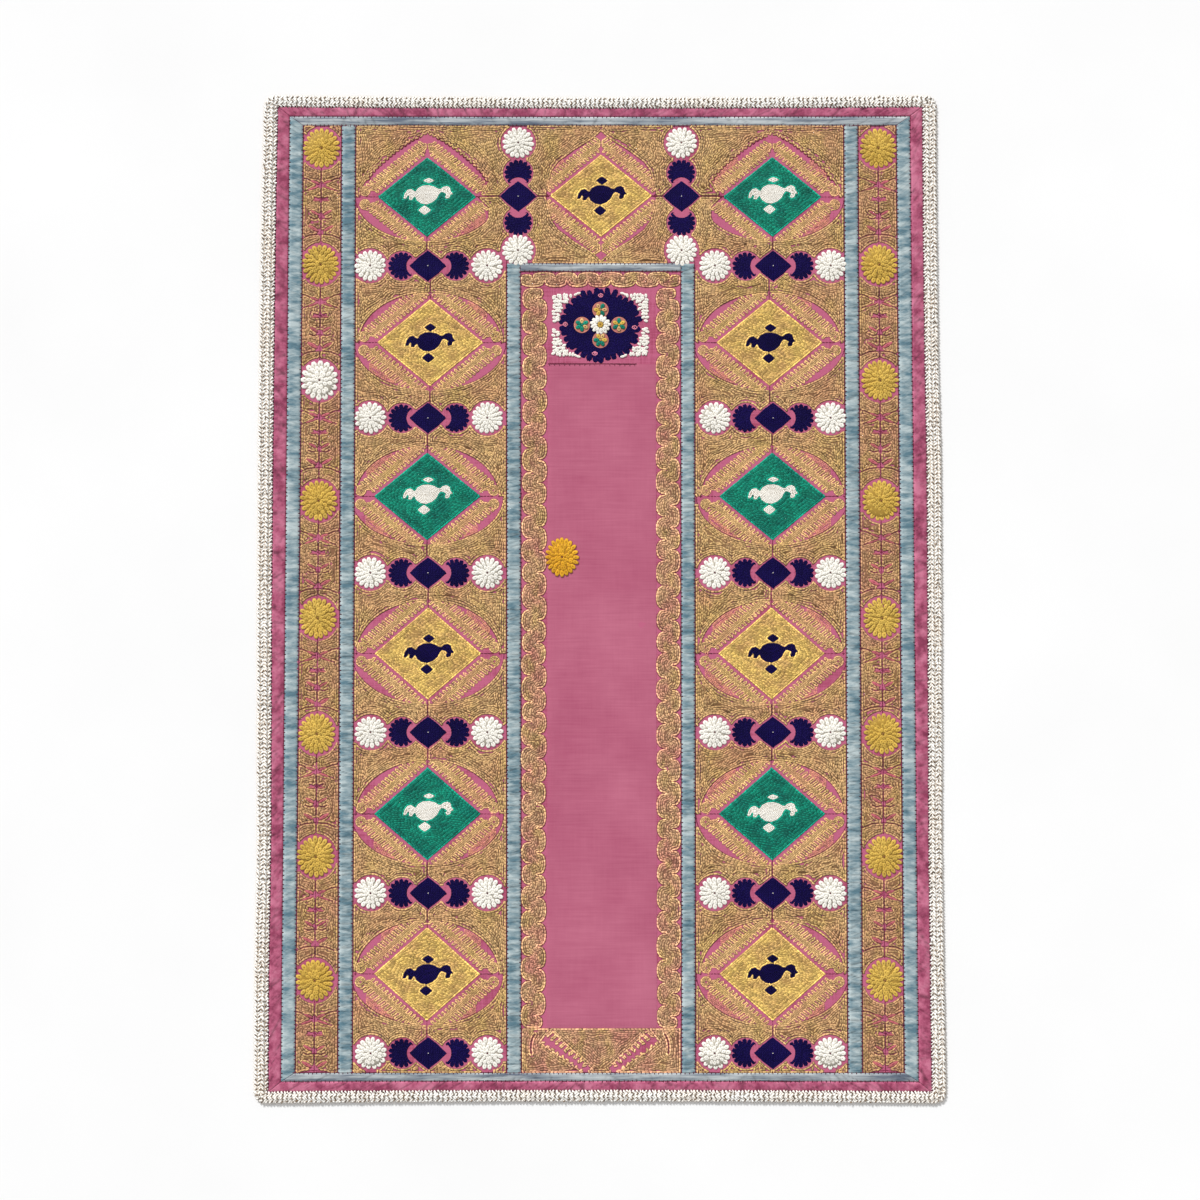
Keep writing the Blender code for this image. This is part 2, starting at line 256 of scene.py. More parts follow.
def thickened(piece, thick):
    """Gives a sheet its thickness, under its face."""
    shell = piece.modifiers.new("thickness", "SOLIDIFY")
    shell.thickness = thick
    shell.offset = -1


def flat_piece(name, outlines, step, top, thick, cloth):
    """Cloth cut to one or more outlines, its face at the height that top gives, its thickness below."""
    bm = bmesh.new()
    for outline in outlines:
        bm.faces.new([bm.verts.new((x, y, 0)) for x, y in outline])
    every_point = np.concatenate(outlines)
    low, high = every_point.min(axis=0), every_point.max(axis=0)
    for axis, normal in ((0, (1, 0, 0)), (1, (0, 1, 0))):
        for at in np.arange(low[axis] + step, high[axis] - step / 3, step):
            spot = (at, 0, 0) if axis == 0 else (0, at, 0)
            everything = bm.verts[:] + bm.edges[:] + bm.faces[:]
            bmesh.ops.bisect_plane(bm, geom=everything, plane_co=spot, plane_no=normal, dist=1e-6)
    bm.normal_update()
    bmesh.ops.reverse_faces(bm, faces=[face for face in bm.faces if face.normal.z < 0])
    mesh = mesh_from(name, bm)
    points = np.array([vertex.co for vertex in mesh.vertices])
    points[:, 2] = top(points[:, 0], points[:, 1])
    mesh.vertices.foreach_set("co", points.ravel())
    piece = made_of(name, mesh, cloth)
    thickened(piece, thick)
    piece.modifiers.new("flat to its edge", "WEIGHTED_NORMAL").weight = 100
    return piece


def fitted(piece, slot=None, *nodes):
    """Sews a piece on: it rides with the textile, in place of its solids."""
    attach(piece, "root")
    if nodes:
        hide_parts(*nodes)
    return piece


rose_cotton = weave("rose cotton", ROSE, ROSE_WORN)
cloth_outline = round_the_middle(low_points("ground_cloth"))
ground = flat_piece("ground_sheet", [cloth_outline], CLOTH_STEP, lie, CLOTH, rose_cotton)
fitted(ground, "rose_cotton", "ground_cloth")

# ---------------------------------------------------------------------------------------------------
# Bird lozenges: each is filled solid with green or yellow silk in short laid stitches, two rows round
# the edge and wandering rows inside, and a bird with a small lozenge over and under it is left free.

FOOT_EDGE = -0.8  # heights in the tables are measured up from here
LOZENGES = (  # height, distance from the middle, half width, half height, silk
    (1.436, 0.2770, 0.0790, 0.065, "green"),
    (1.200, 0.2710, 0.0850, 0.070, "yellow"),
    (0.953, 0.2745, 0.0850, 0.070, "green"),
    (0.703, 0.2720, 0.0845, 0.073, "yellow"),
    (0.450, 0.2715, 0.0840, 0.073, "green"),
    (0.200, 0.2710, 0.0835, 0.073, "yellow"),
)
HEAD_LOZENGE = (1.438, 0.002, 0.0820, 0.067, "yellow")
LAID_PITCH, LAID_LENGTH, LAID_RISE = 0.0028, 0.0052, 0.0012
FINE_PITCH, FINE_LENGTH, FINE_RISE = 0.0021, 0.0034, 0.0010
EDGE_ROWS, ROW_SLOPE, ROW_DRIFT, DRIFT_BLOT = 1.6, 0.35, 1.5, 0.030
FIRST_ROW = 900.5  # added to a level whose rows may lie on both sides of 0
LOZENGE_GRID = 0.0012
BIRD = (  # its outline in millimetres from the lozenge's middle: body, neck, beaked head, fingered tail
    (-19, 5), (-15, 11), (-7, 15), (3, 15.5), (11, 13.5), (17, 10), (21, 9.5), (25, 13), (31, 14.5),
    (36, 12), (37.5, 6), (41, 1), (37, 0.5), (35.5, -5), (30, -6.5), (28.5, -3), (30.5, 1), (27, 3.5),
    (22, 5), (18.5, 1), (15, -6), (8, -12), (-1, -15.5), (-10, -14), (-17, -9), (-20, -2.5), (-22.5, -5),
    (-25, -8.5), (-29.5, -8), (-29, -2.5), (-31, -0.5), (-34, -6), (-38.5, -6.5), (-36.5, 2), (-32, 8),
    (-26, 9.5), (-22, 6.5),
)
BIRD_RISE, BIRD_OFF = {"green": 0.0036, "yellow": 0.0004}, 0.001
SMALL_LOZENGES = {  # the one over and the one under the bird: from its middle, and half sizes
    "green": ((0.0020, 0.0234, 0.0092, 0.0042), (-0.0045, -0.0248, 0.0100, 0.0076)),
    "yellow": ((0.0012, 0.0232, 0.0092, 0.0064), (-0.0018, -0.0256, 0.0097, 0.0078)),
}
SMALL_SWELL = 1.1
SUNK, OVER_SILK = 0.00012, 0.0002  # how far stitches are pulled into cloth, or stand over silk
PAD_INSET, PAD_LIFT, PAD_SUNK, PAD_STEP, FINE_PAD_STEP = 0.0008, 0.00035, 0.0002, 0.012, 0.009
BIRD_PAD_LIFT = 0.0006
STRAND, STRAND_RELIEF = 0.0012, 0.0004

bird_lozenges = [HEAD_LOZENGE]
for height, reach, wide, tall, silk in LOZENGES:
    bird_lozenges += [(height, side * reach, wide, tall, silk) for side in (-1, 1)]


def grid_over(low, high, step):
    """Points on a square grid over a box, as the arrays x and y."""
    return np.meshgrid(np.arange(low[0], high[0] + step, step), np.arange(low[1], high[1] + step, step))


def from_lines(x, y, stretches):
    """How far each point lies from the nearest of some straight stretches, each given by its two ends."""
    nearest = np.full(x.shape, 9.0)
    for (ax, ay), (bx, by) in stretches:
        ex, ey = bx - ax, by - ay
        along = np.clip(((x - ax) * ex + (y - ay) * ey) / max(ex * ex + ey * ey, 1e-12), 0, 1)
        nearest = np.minimum(nearest, np.hypot(x - ax - along * ex, y - ay - along * ey))
    return nearest


def within(x, y, outline):
    """How deep each point lies inside a closed outline. It is negative outside."""
    stretches = list(zip(outline, [*outline[1:], outline[0]]))
    nearest = from_lines(x, y, stretches)
    held = np.zeros(x.shape, bool)
    for (ax, ay), (bx, by) in stretches:
        if ay != by:
            held ^= ((ay > y) != (by > y)) & (x < ax + (y - ay) * (bx - ax) / (by - ay))
    return np.where(held, nearest, -nearest)


def inside(x, y, outlines):
    """How deep each point lies inside the nearest of several outlines."""
    return np.maximum.reduce([within(x, y, outline) for outline in outlines])


def near_line(x, y, line, half_width):
    """How deep each point lies inside a stroke of this half width drawn along a line."""
    return half_width - from_lines(x, y, zip(line, line[1:]))


def oval(cx, cy, rx, ry, count=40, start=0.0, end=360.0):
    """Points round an ellipse, or along a part of it where start and end are given."""
    turns = np.radians(np.linspace(start, end, count, endpoint=end - start < 360))
    return list(zip(cx + rx * np.cos(turns), cy + ry * np.sin(turns)))


def diamond(cx, cy, rx, ry, full=1.0):
    """A lozenge's outline. full over 1 swells its sides."""
    points = []
    for eighth in range(8):
        turn = radians(45 * eighth)
        reach = 1.0 if eighth % 2 == 0 else full / (abs(cos(turn)) + abs(sin(turn)))
        points.append((cx + rx * reach * cos(turn), cy + ry * reach * sin(turn)))
    return points


def rows_where(x, y, level, keep):
    """The rows of a filling, along which level is 0, 1, 2 and so on: their points, numbers and edges."""
    whole = np.floor(level)
    count, found, numbered, spots, names = 0, [], [], [], []
    for axis in (1, 0):  # the points where a row crosses the grid's lines, one way and then the other
        near = (slice(None), slice(None, -1)) if axis else (slice(None, -1), slice(None))
        far = (slice(None), slice(1, None)) if axis else (slice(1, None), slice(None))
        number = np.maximum(whole[near], whole[far])
        crossed = (whole[near] != whole[far]) & (number >= 0) & keep[near] & keep[far]
        one, two = level[near][crossed], level[far][crossed]
        share = np.clip((number[crossed] - one) / (two - one), 0.02, 0.98)
        here = [grid[near][crossed] * (1 - share) + grid[far][crossed] * share for grid in (x, y)]
        spots.append(np.stack(here, 1))
        names.append(number[crossed])
        made = np.full(number.shape, -1)
        made[crossed] = count + np.arange(len(share))
        count += len(share)
        found.append(made)
        numbered.append(np.where(crossed, number, 1e6))
    ways = [  # the crossings on the four sides of each of the grid's squares, and their rows' numbers
        np.stack([each[0][:-1], each[0][1:], each[1][:, :-1], each[1][:, 1:]], -1).reshape(-1, 4)
        for each in (found, numbered)
    ]
    order = np.argsort(ways[1], axis=1, kind="stable")
    ends, levels = (np.take_along_axis(each, order, 1) for each in ways)
    edges = [  # a square joins two crossings of the same row
        ends[(ends[:, last] >= 0) & (levels[:, last - 1] == levels[:, last])][:, last - 1 : last + 1]
        for last in (1, 3)
    ]
    return np.concatenate(spots), np.concatenate(names), np.concatenate(edges)


def echo_rows(x, y, depth, pitch, drift=0.0, limit=None):
    """Rows that follow an area's edge inwards. drift makes all but the first wander."""
    level = depth / pitch - 0.5
    level = level + drift * np.clip(level / 2, 0, 1)
    keep = depth > -pitch if limit is None else (depth > -pitch) & (level < limit)
    return rows_where(x, y, level, keep)


repeated = []  # the small shapes that the trees repeat, which are no pieces of the textile themselves


def repeatable(name, mesh, crests):
    """A small shape for the trees to repeat. crests places each of its points from painted shade, at 0,
    to painted highlight, at 1.
    """
    smooth(mesh)
    mesh.attributes.new("crest", "FLOAT", "POINT").data.foreach_set("value", crests)
    repeated.append(stood(name, mesh))
    return repeated[-1]


def grain(name, length, width, rise):
    """One laid stitch: a low closed ridge of silk, its crest marked for a painted highlight and its rim
    for painted shade.
    """
    long, wide = length / 2, width / 2
    points = [(-long, -wide, 0), (long, -wide, 0), (long, wide, 0), (-long, wide, 0)]
    points += [(-0.5 * long, 0, rise), (0.5 * long, 0, rise)]
    faces = [(3, 2, 1, 0), (0, 1, 5, 4), (1, 2, 5), (2, 3, 4, 5), (3, 0, 4)]
    mesh = bpy.data.meshes.new(name)
    mesh.from_pydata(points, [], faces)
    return repeatable(name, mesh, [0, 0, 0, 0, 1, 1])


def new_tree(name, output, **inputs):
    """A geometry tree with named inputs, its inputs' outputs, and the function that adds nodes to it."""
    tree = bpy.data.node_groups.new(name, "GeometryNodeTree")
    for label, kind in inputs.items():
        label = label.replace("_", " ").capitalize()
        tree.interface.new_socket(label, in_out="INPUT", socket_type="NodeSocket" + kind)
    tree.interface.new_socket(output, in_out="OUTPUT", socket_type="NodeSocketGeometry")
    add = adder(tree)
    return tree, add("NodeGroupInput").outputs, add


def finish_tree(tree, given, add, points, shape, turn, size):
    """Both trees' end: the shape on each point with a tint of its own, then real geometry in its thread."""
    shown = add("GeometryNodeObjectInfo", [("Object", shape)])
    wanted = [("Points", points), ("Instance", shown.outputs["Geometry"])]
    wanted += [("Rotation", turn), ("Scale", size)]
    placed = add("GeometryNodeInstanceOnPoints", wanted)
    tint = add("FunctionNodeRandomValue", [(2, 0.0), (3, 1.0), ("Seed", given["Seed"])], data_type="FLOAT")
    wanted = [("Geometry", placed.outputs[0]), ("Name", "tint"), ("Value", tint.outputs[1])]
    stored = add("GeometryNodeStoreNamedAttribute", wanted, data_type="FLOAT", domain="INSTANCE")
    real = add("GeometryNodeRealizeInstances", [(0, stored.outputs[0])])
    threaded = add("GeometryNodeSetMaterial", [(0, real.outputs[0]), ("Material", given["Thread"])])
    add("NodeGroupOutput", [(0, threaded.outputs[0])])
    return tree


def turned_flat(add, angle):
    """A turn in the cloth's plane, as a rotation."""
    euler = add("ShaderNodeCombineXYZ", [("Z", angle)])
    return add("FunctionNodeEulerToRotation", [(0, euler.outputs[0])]).outputs[0]


def stitch_tree():
    """Rows in, stitches out: one on each stitch length of each row, turned along it."""
    tree, given, add = new_tree(
        "stitches along rows", "Stitches", rows="Geometry", stitch="Object", stitch_length="Float",
        slant="Float", unevenness="Float", seed="Int", thread="Material",
    )
    line = add("GeometryNodeMeshToCurve", [("Mesh", given["Rows"])])
    wanted = [("Curve", line.outputs[0]), ("Length", given["Stitch length"])]
    laid = add("GeometryNodeCurveToPoints", wanted, mode="LENGTH")
    wanted = [("Vector", laid.outputs["Tangent"])]
    along = add("FunctionNodeAlignRotationToVector", wanted, axis="X", pivot_axis="Z")
    off = add("FunctionNodeRandomValue", [(2, -1.0), (3, 1.0), ("Seed", given["Seed"])], data_type="FLOAT")
    wanted = [(0, off.outputs[1]), (1, given["Unevenness"]), (2, given["Slant"])]
    skew = add("ShaderNodeMath", wanted, operation="MULTIPLY_ADD")
    wanted = [("Rotation", along.outputs[0]), ("Rotate By", turned_flat(add, skew.outputs[0]))]
    turn = add("FunctionNodeRotateRotation", wanted, rotation_space="LOCAL")
    wanted = [(0, (0.9, 0.92, 0.8)), (1, (1.15, 1.08, 1.2))]
    size = add("FunctionNodeRandomValue", wanted, data_type="FLOAT_VECTOR")
    return finish_tree(tree, given, add, laid.outputs[0], given["Stitch"], turn.outputs[0], size.outputs[0])


def worked(name, carrier, tree, **wanted):
    """Runs a stitch tree on a carrier mesh and keeps what it makes as a plain piece."""
    holder = stood(name + " carrier", carrier)
    modifier = holder.modifiers.new("stitches", "NODES")
    modifier.node_group = tree
    sockets = {item.name.lower().replace(" ", "_"): item.identifier for item in tree.interface.items_tree}
    for label, value in wanted.items():
        modifier[sockets[label]] = value
    holder.update_tag()
    graph = bpy.context.evaluated_depsgraph_get()
    mesh = bpy.data.meshes.new_from_object(holder.evaluated_get(graph))
    bpy.data.objects.remove(holder)
    mesh.name = name
    return fitted(stood(name, mesh))


def row_mesh(name, parts, height):
    """Rows of several areas as one mesh of edges, standing at the height that height(x, y) gives."""
    spots = np.concatenate([part[0] for part in parts])
    starts = np.cumsum([0] + [len(part[0]) for part in parts])
    edges = np.concatenate([part[2] + start for part, start in zip(parts, starts)])
    if spots.shape[1] == 2:
        spots = np.column_stack([spots, height(spots[:, 0], spots[:, 1])])
    mesh = bpy.data.meshes.new(name)
    mesh.vertices.add(len(spots))
    mesh.edges.add(len(edges))
    mesh.vertices.foreach_set("co", spots.ravel())
    mesh.edges.foreach_set("vertices", edges.astype(np.int32).ravel())
    row = mesh.attributes.new("row", "FLOAT", "POINT")
    row.data.foreach_set("value", np.concatenate([part[1] for part in parts]))
    mesh.update()
    return mesh


def just_above(x, y):
    """Where a stitch's underside lies, pulled a little into the cloth."""
    return lie(x, y) - SUNK


def over_the_silk(x, y):
    """Where a stitch's underside lies on silk that has been laid already."""
    return lie(x, y) + OVER_SILK


def embroidered(name, parts, stitch, length, thread, height=just_above, slant=0.0, unevenness=0.13, seed=3):
    """Stitches laid along rows, as one piece. slant turns each from its row."""
    rows = row_mesh(name + " rows", parts, height)
    wanted = {"stitch": stitch, "stitch_length": length, "slant": slant, "unevenness": unevenness}
    return worked(name, rows, along_rows, seed=seed, thread=thread, **wanted)


def mark(add, label):
    """What a mesh says of its points under this name."""
    return add("ShaderNodeAttribute", attribute_name=label).outputs["Fac"]


def thread(
    name, bright, deep, glance=None, other=None, sheen=0.12, gloss=0.2,
    outline=1.12, blot=0.09, low=0.0, full=0.55, spread=0.2,
):
    """Silk thread: painted shade between the stitches and a painted highlight on their crests, each stitch
    with its own tint, and worn in blots towards the glance colour and another. The first row of an area
    is lighter."""
    made, add = finish(name, 0.6, sheen, gloss)
    crest = mark(add, "crest")
    # Painted shade where the stitches meet (deep), and a painted highlight on each crest (bright).
    colour = shades(add, crest, (low, deep), (full, bright))
    wears = [(glance or tuple(part * 0.9 for part in bright), blotches(add, blot, 4.0, 0.6), 0.42, 0.75)]
    if other:
        wears.append((other, blotches(add, 0.7 * blot, 3.0, 0.5, (1.3, 0.8, 1)), 0.48, 0.8))
    for worn, blots, first, most in wears:
        wanted = [("Value", blots), ("From Min", first), ("From Max", 0.66), ("To Max", most)]
        share = add("ShaderNodeMapRange", wanted)
        veil = shades(add, crest, (low, deep), (full, worn))
        wanted = [("Factor", share.outputs[0]), ("A", colour), ("B", veil)]
        colour = add("ShaderNodeMix", wanted, data_type="RGBA").outputs["Result"]
    wanted = [("Value", mark(add, "tint")), ("To Min", 1 - spread), ("To Max", 1 + spread)]
    uneven = add("ShaderNodeMapRange", wanted)
    first = add("ShaderNodeMath", [(0, mark(add, "row")), (1, 0.5)], operation="LESS_THAN")
    edge = add("ShaderNodeMapRange", [("Value", first.outputs[0]), ("To Min", 1.0), ("To Max", outline)])
    both = add("ShaderNodeMath", [(0, uneven.outputs[0]), (1, edge.outputs[0])], operation="MULTIPLY")
    toned = add("ShaderNodeVectorMath", [(0, colour), ("Scale", both.outputs[0])], operation="SCALE")
    to_shader(made, "Base Color", toned.outputs[0])
    bumped(made, add, blotches(add, STRAND, 2.0), 0.35, STRAND_RELIEF)
    return made


def marked(mesh, crest, tint=0.5):
    """Marks a mesh that is no stitch with what the threads read. crest places it between painted shade
    and painted highlight.
    """
    for label, value in (("crest", crest), ("tint", tint), ("row", 1.0)):
        mesh.attributes.new(label, "FLOAT", "POINT").data.foreach_set("value", [value] * len(mesh.vertices))


def padding(name, outlines, thread, lift=PAD_LIFT, crest=0.3, step=PAD_STEP):
    """Silk laid flat under the stitches, so that no cloth shows between them. Its crest share gives it a
    deep tone of the silk: painted shade in the gaps between the stitches.
    """
    pad = flat_piece(name, outlines, step, lambda x, y: lie(x, y) + lift, lift + PAD_SUNK, thread)
    smooth(pad.data, False)
    marked(pad.data, crest)
    return fitted(pad)


along_rows = stitch_tree()
laid_stitch = grain("laid stitch", LAID_LENGTH * 1.2, LAID_PITCH * 1.25, LAID_RISE)
fine_stitch = grain("fine stitch", FINE_LENGTH * 1.25, FINE_PITCH * 1.25, FINE_RISE)

green_silk = thread(
    "green silk", dyed(16, 140, 114), dyed(0, 44, 42), dyed(4, 104, 92),
    sheen=0.03, outline=1.75, blot=0.03, spread=0.36,
)
yellow_silk = thread(
    "yellow silk", dyed(230, 194, 108), dyed(112, 70, 24), dyed(202, 158, 104),
    outline=1.50, blot=0.03, spread=0.40,
)
silks = {"green": green_silk, "yellow": yellow_silk}
navy_silk = thread(
    "navy silk", dyed(28, 18, 78), dyed(8, 2, 34), dyed(20, 12, 60), sheen=0.0, gloss=0.08, outline=1.0
)
white_silk = thread(
    "white silk", dyed(250, 246, 236, 1.0), dyed(156, 146, 128), outline=1.0, full=0.45, spread=0.05
)
pale_silk = thread(
    "white bird silk", dyed(255, 252, 244, 1.0), dyed(186, 174, 156), outline=1.0, full=0.60, spread=0.05
)

silk_rows, bird_rows = {"green": [], "yellow": []}, {"green": [], "yellow": []}
silk_outlines, bird_outlines = {"green": [], "yellow": []}, {"green": [], "yellow": []}
draws = np.random.default_rng(7)
for height, cx, wide, tall, silk in bird_lozenges:
    cy = FOOT_EDGE + height
    x, y = grid_over((cx - wide, cy - tall), (cx + wide, cy + tall), LOZENGE_GRID)
    bx = cx + draws.uniform(-BIRD_OFF, BIRD_OFF)
    by = cy + BIRD_RISE[silk] + draws.uniform(-BIRD_OFF, BIRD_OFF)
    bird = [(bx + px / 1000, by + py / 1000) for px, py in BIRD]
    small = [diamond(bx + sx, by + sy, rx, ry, SMALL_SWELL) for sx, sy, rx, ry in SMALL_LOZENGES[silk]]
    animal = inside(x, y, [bird, *small])
    depth = np.minimum(within(x, y, diamond(cx, cy, wide, tall)), -animal)
    silk_outlines[silk].append(diamond(cx, cy, wide - PAD_INSET, tall - PAD_INSET))
    bird_outlines[silk] += [bird, *small]
    silk_rows[silk].append(echo_rows(x, y, depth, LAID_PITCH, limit=EDGE_ROWS))
    drift = ROW_DRIFT * wander(x, y, DRIFT_BLOT, round(1e3 * height))
    level = (y + ROW_SLOPE * (x - cx)) / LAID_PITCH + drift + FIRST_ROW
    silk_rows[silk].append(rows_where(x, y, level, depth > EDGE_ROWS * LAID_PITCH))
    bird_rows[silk].append(echo_rows(x, y, animal, FINE_PITCH))
for silk, bird_thread in (("green", pale_silk), ("yellow", navy_silk)):
    embroidered(f"{silk}_lozenges", silk_rows[silk], laid_stitch, LAID_LENGTH, silks[silk])
    padding(f"{silk}_lozenge_padding", silk_outlines[silk], silks[silk], step=FINE_PAD_STEP)
    embroidered(f"birds_on_{silk}", bird_rows[silk], fine_stitch, FINE_LENGTH, bird_thread, over_the_silk)
    birds = bird_outlines[silk]
    # The birds' padding takes their silk's deepest tone: painted shade between the stitches.
    padding(f"bird_padding_on_{silk}", birds, bird_thread, BIRD_PAD_LIFT, crest=0.0, step=FINE_PAD_STEP)

# ---------------------------------------------------------------------------------------------------
# Feathers: four round every lozenge, in ochre silk. Each is a spine with looped teeth on both edges and
# a round knob at its outer end. The bare rose cloth shows round it as an eye, partly filled in salmon.

HEAD_ROW = 1.4  # the lozenges above this height are the head row's
EYE_TOP, EYE_LOW = (0.0290, 0.0110), (0.0360, 0.0070)  # how far the eye reaches past the lozenge
SIDE_EYE = (
    (0.108, 0.010), (0.0985, 0.0255), (0.0885, 0.041), (0.075, 0.0545), (0.0585, 0.069), (0.042, 0.0815),
    (0.0255, 0.0935),
)
HEAD_EYE = ((0.083, 0.006), (0.0794, 0.0394), (0.069, 0.0545), (0.044, 0.0735), (0.014, 0.0920))
EYE_POINT, EYE_LIMIT = 0.105, 0.0985
STACK_EYE, STACK_EYE_UP = ((0.004, 0.0), (0.006, 0.004)), 0.016  # where a stack stands close by
CURL_START, CURL_PITCH, CURL_DEEP, CURL_STEPS = 0.030, 0.0075, 0.0034, 6
KNOB_OUT, KNOB_UP, KNOB_RADIUS = 0.0208, {1: 0.0096, -1: 0.0126}, 0.0088
KNOB_NECK, NECK_ROOT = 0.0052, 0.003
SPINE_OFF, SPINE_START, CORE_HALF = 0.0155, 0.003, 0.0049  # from the lozenge, from its tip, half width
SPINE_TAIL = 0.0095  # how far the spine may run past the lozenge's point
FINGER_PITCH, FINGER_REACH, FINGER_HALF, FINGER_LEAN = 0.0072, 0.0162, 0.0027, 0.0034
HEAD_FINGER_LESS = 0.0032
TOOTH_REACH, TOOTH_HALF, TOOTH_LEAN = 0.0114, 0.0025, 0.002
BAND_START, BAND_IN = 0.008, 0.001  # of the silk under a feather: from the lozenge's tip, and inwards
APEX_DIAMOND, NECK_DIAMOND = (0.0965, 0.0064, 0.0085), (0.0095, 0.0034, 0.0060)  # height and half sizes
FEATHER_PITCH, FEATHER_LENGTH, FEATHER_GRID = 0.0024, 0.0046, 0.0009
FEATHER_BOX, BOX_OVER, MIDDLE_GAP = (0.036, 0.040), 0.001, 0.0008
CRESCENT_FIRST, CRESCENT_LONG, CRESCENT_SHARE = (0.044, 0.020), (0.022, 0.030), 0.62
CRESCENT_IN, CRESCENT_GAP = 0.0010, 0.0002


def in_head_row(lozenge):
    """Whether a lozenge stands in the head row."""
    return lozenge[0] > HEAD_ROW


def beside_stack(lozenge, side):
    """Whether this side of a lozenge faces one of the stacks of the head row."""
    return lozenge is HEAD_LOZENGE or (in_head_row(lozenge) and side * lozenge[1] < 0)


def side_of(lozenge):
    """A lozenge's side, from its outer tip to its top: how long it is, and the ways along and out of it."""
    _, _, wide, tall, _ = lozenge
    long = hypot(wide, tall)
    return long, np.array([-wide, tall]) / long, np.array([tall, wide]) / long


def feather(x, y, lozenge, side, end):
    """How deep points lie inside one feather of a lozenge. side and end pick its quarter."""
    height, cx, wide, tall, _ = lozenge
    x, y = (x - cx) * side, (y - FOOT_EDGE - height) * end
    long, run, out = side_of(lozenge)
    reach = FINGER_REACH - (HEAD_FINGER_LESS if in_head_row(lozenge) else 0.0)
    start = np.array([wide, 0.0]) + out * SPINE_OFF + run * SPINE_START
    parts = []
    if not beside_stack(lozenge, side):
        knob = (wide + KNOB_OUT, KNOB_UP[end])
        parts.append(KNOB_RADIUS - np.hypot(x - knob[0], y - knob[1]))
        parts.append(near_line(x, y, (knob, start + out * NECK_ROOT), KNOB_NECK))
    count = int((long + SPINE_TAIL) / FINGER_PITCH)
    for finger in range(count + 1):
        spot = start + run * FINGER_PITCH * finger
        if finger < count:
            parts.append(near_line(x, y, (spot, spot + run * FINGER_PITCH), CORE_HALF))
        tip = spot + out * (reach - FINGER_HALF) - run * FINGER_LEAN
        tooth = spot - out * (TOOTH_REACH - TOOTH_HALF) + run * TOOTH_LEAN
        parts += [near_line(x, y, (spot, tip), FINGER_HALF), near_line(x, y, (spot, tooth), TOOTH_HALF)]
    depth = np.minimum(np.maximum.reduce(parts), x - MIDDLE_GAP)
    if end > 0 and in_head_row(lozenge):
        high, half_wide, half_tall = APEX_DIAMOND
        depth = np.minimum(depth, -within(x, y, diamond(0, high, half_wide, half_tall)))
    above, half_wide, half_tall = NECK_DIAMOND
    return np.minimum(depth, -within(x, y, diamond(0, tall + above, half_wide, half_tall)))


def spine_band(lozenge, side, end):
    """The outline of the silk that lies under the middle of a feather."""
    height, cx, wide, _, _ = lozenge
    long, run, out = side_of(lozenge)
    start = np.array([wide, 0.0]) + out * SPINE_OFF + run * BAND_START
    last = start + run * (long - BAND_START)
    edge = out * CORE_HALF
    corners = [start - edge, last - edge, last + edge, start + edge]
    if beside_stack(lozenge, side):
        corners = [corner - out * BAND_IN for corner in corners]
    return [(cx + side * u, FOOT_EDGE + height + end * v) for u, v in corners]


def lengths_along(line):
    """How far along a line each of its points lies."""
    return np.concatenate([[0], np.cumsum(np.hypot(*np.diff(line[:, :2], axis=0).T))])


def spots_along(line, lengths, at):
    """The points that lie at these lengths along a line."""
    return np.stack([np.interp(at, lengths, line[:, axis]) for axis in range(line.shape[1])], 1)


def curled(line):
    """A line from the side of an eye to its top, pushed in by a row of small round curls."""
    line = np.array(line)
    lengths = lengths_along(line)
    curls = round((lengths[-1] - CURL_START) / CURL_PITCH)
    steps = curls * CURL_STEPS + 1
    curling = CURL_START + np.linspace(0, lengths[-1] - CURL_START, steps)
    at = np.concatenate([[0, 0.5 * CURL_START], curling])
    push = np.concatenate([[0, 0], CURL_DEEP * np.abs(np.sin(np.linspace(0, pi * curls, steps))) ** 0.6])
    spots = spots_along(line, lengths, at)
    return [(x - by * x / hypot(x, y), y - by * y / hypot(x, y)) for (x, y), by in zip(spots, push)]


def eye(lozenge):
    """The outline of the bare cloth round a lozenge and its feathers. In the head row it ends in points."""
    height, cx, wide, tall, _ = lozenge
    points = []
    for side, end in ((1, 1), (-1, 1), (-1, -1), (1, -1)):
        out, up = EYE_TOP if end > 0 else EYE_LOW
        pointed = end > 0 and in_head_row(lozenge)
        quarter = oval(0, 0, wide + out, tall + up, 14, 0, 90)[:-1]
        if lozenge is HEAD_LOZENGE or pointed:
            line = HEAD_EYE if lozenge is HEAD_LOZENGE else SIDE_EYE
            quarter = [(wide + out, 0.0), *line, (0.0, EYE_POINT)]
        if beside_stack(lozenge, side):
            quarter = [spot for spot in quarter if STACK_EYE_UP < spot[1]]
            quarter = [(wide + u, v) for u, v in STACK_EYE] + quarter
            quarter = [(min(u, EYE_LIMIT), v) for u, v in quarter]
        if pointed and lozenge is not HEAD_LOZENGE:
            quarter = curled(quarter)
        ordered = quarter if side * end > 0 else quarter[::-1]
        points += [(cx + side * u, FOOT_EDGE + height + end * v) for u, v in ordered]
    return points


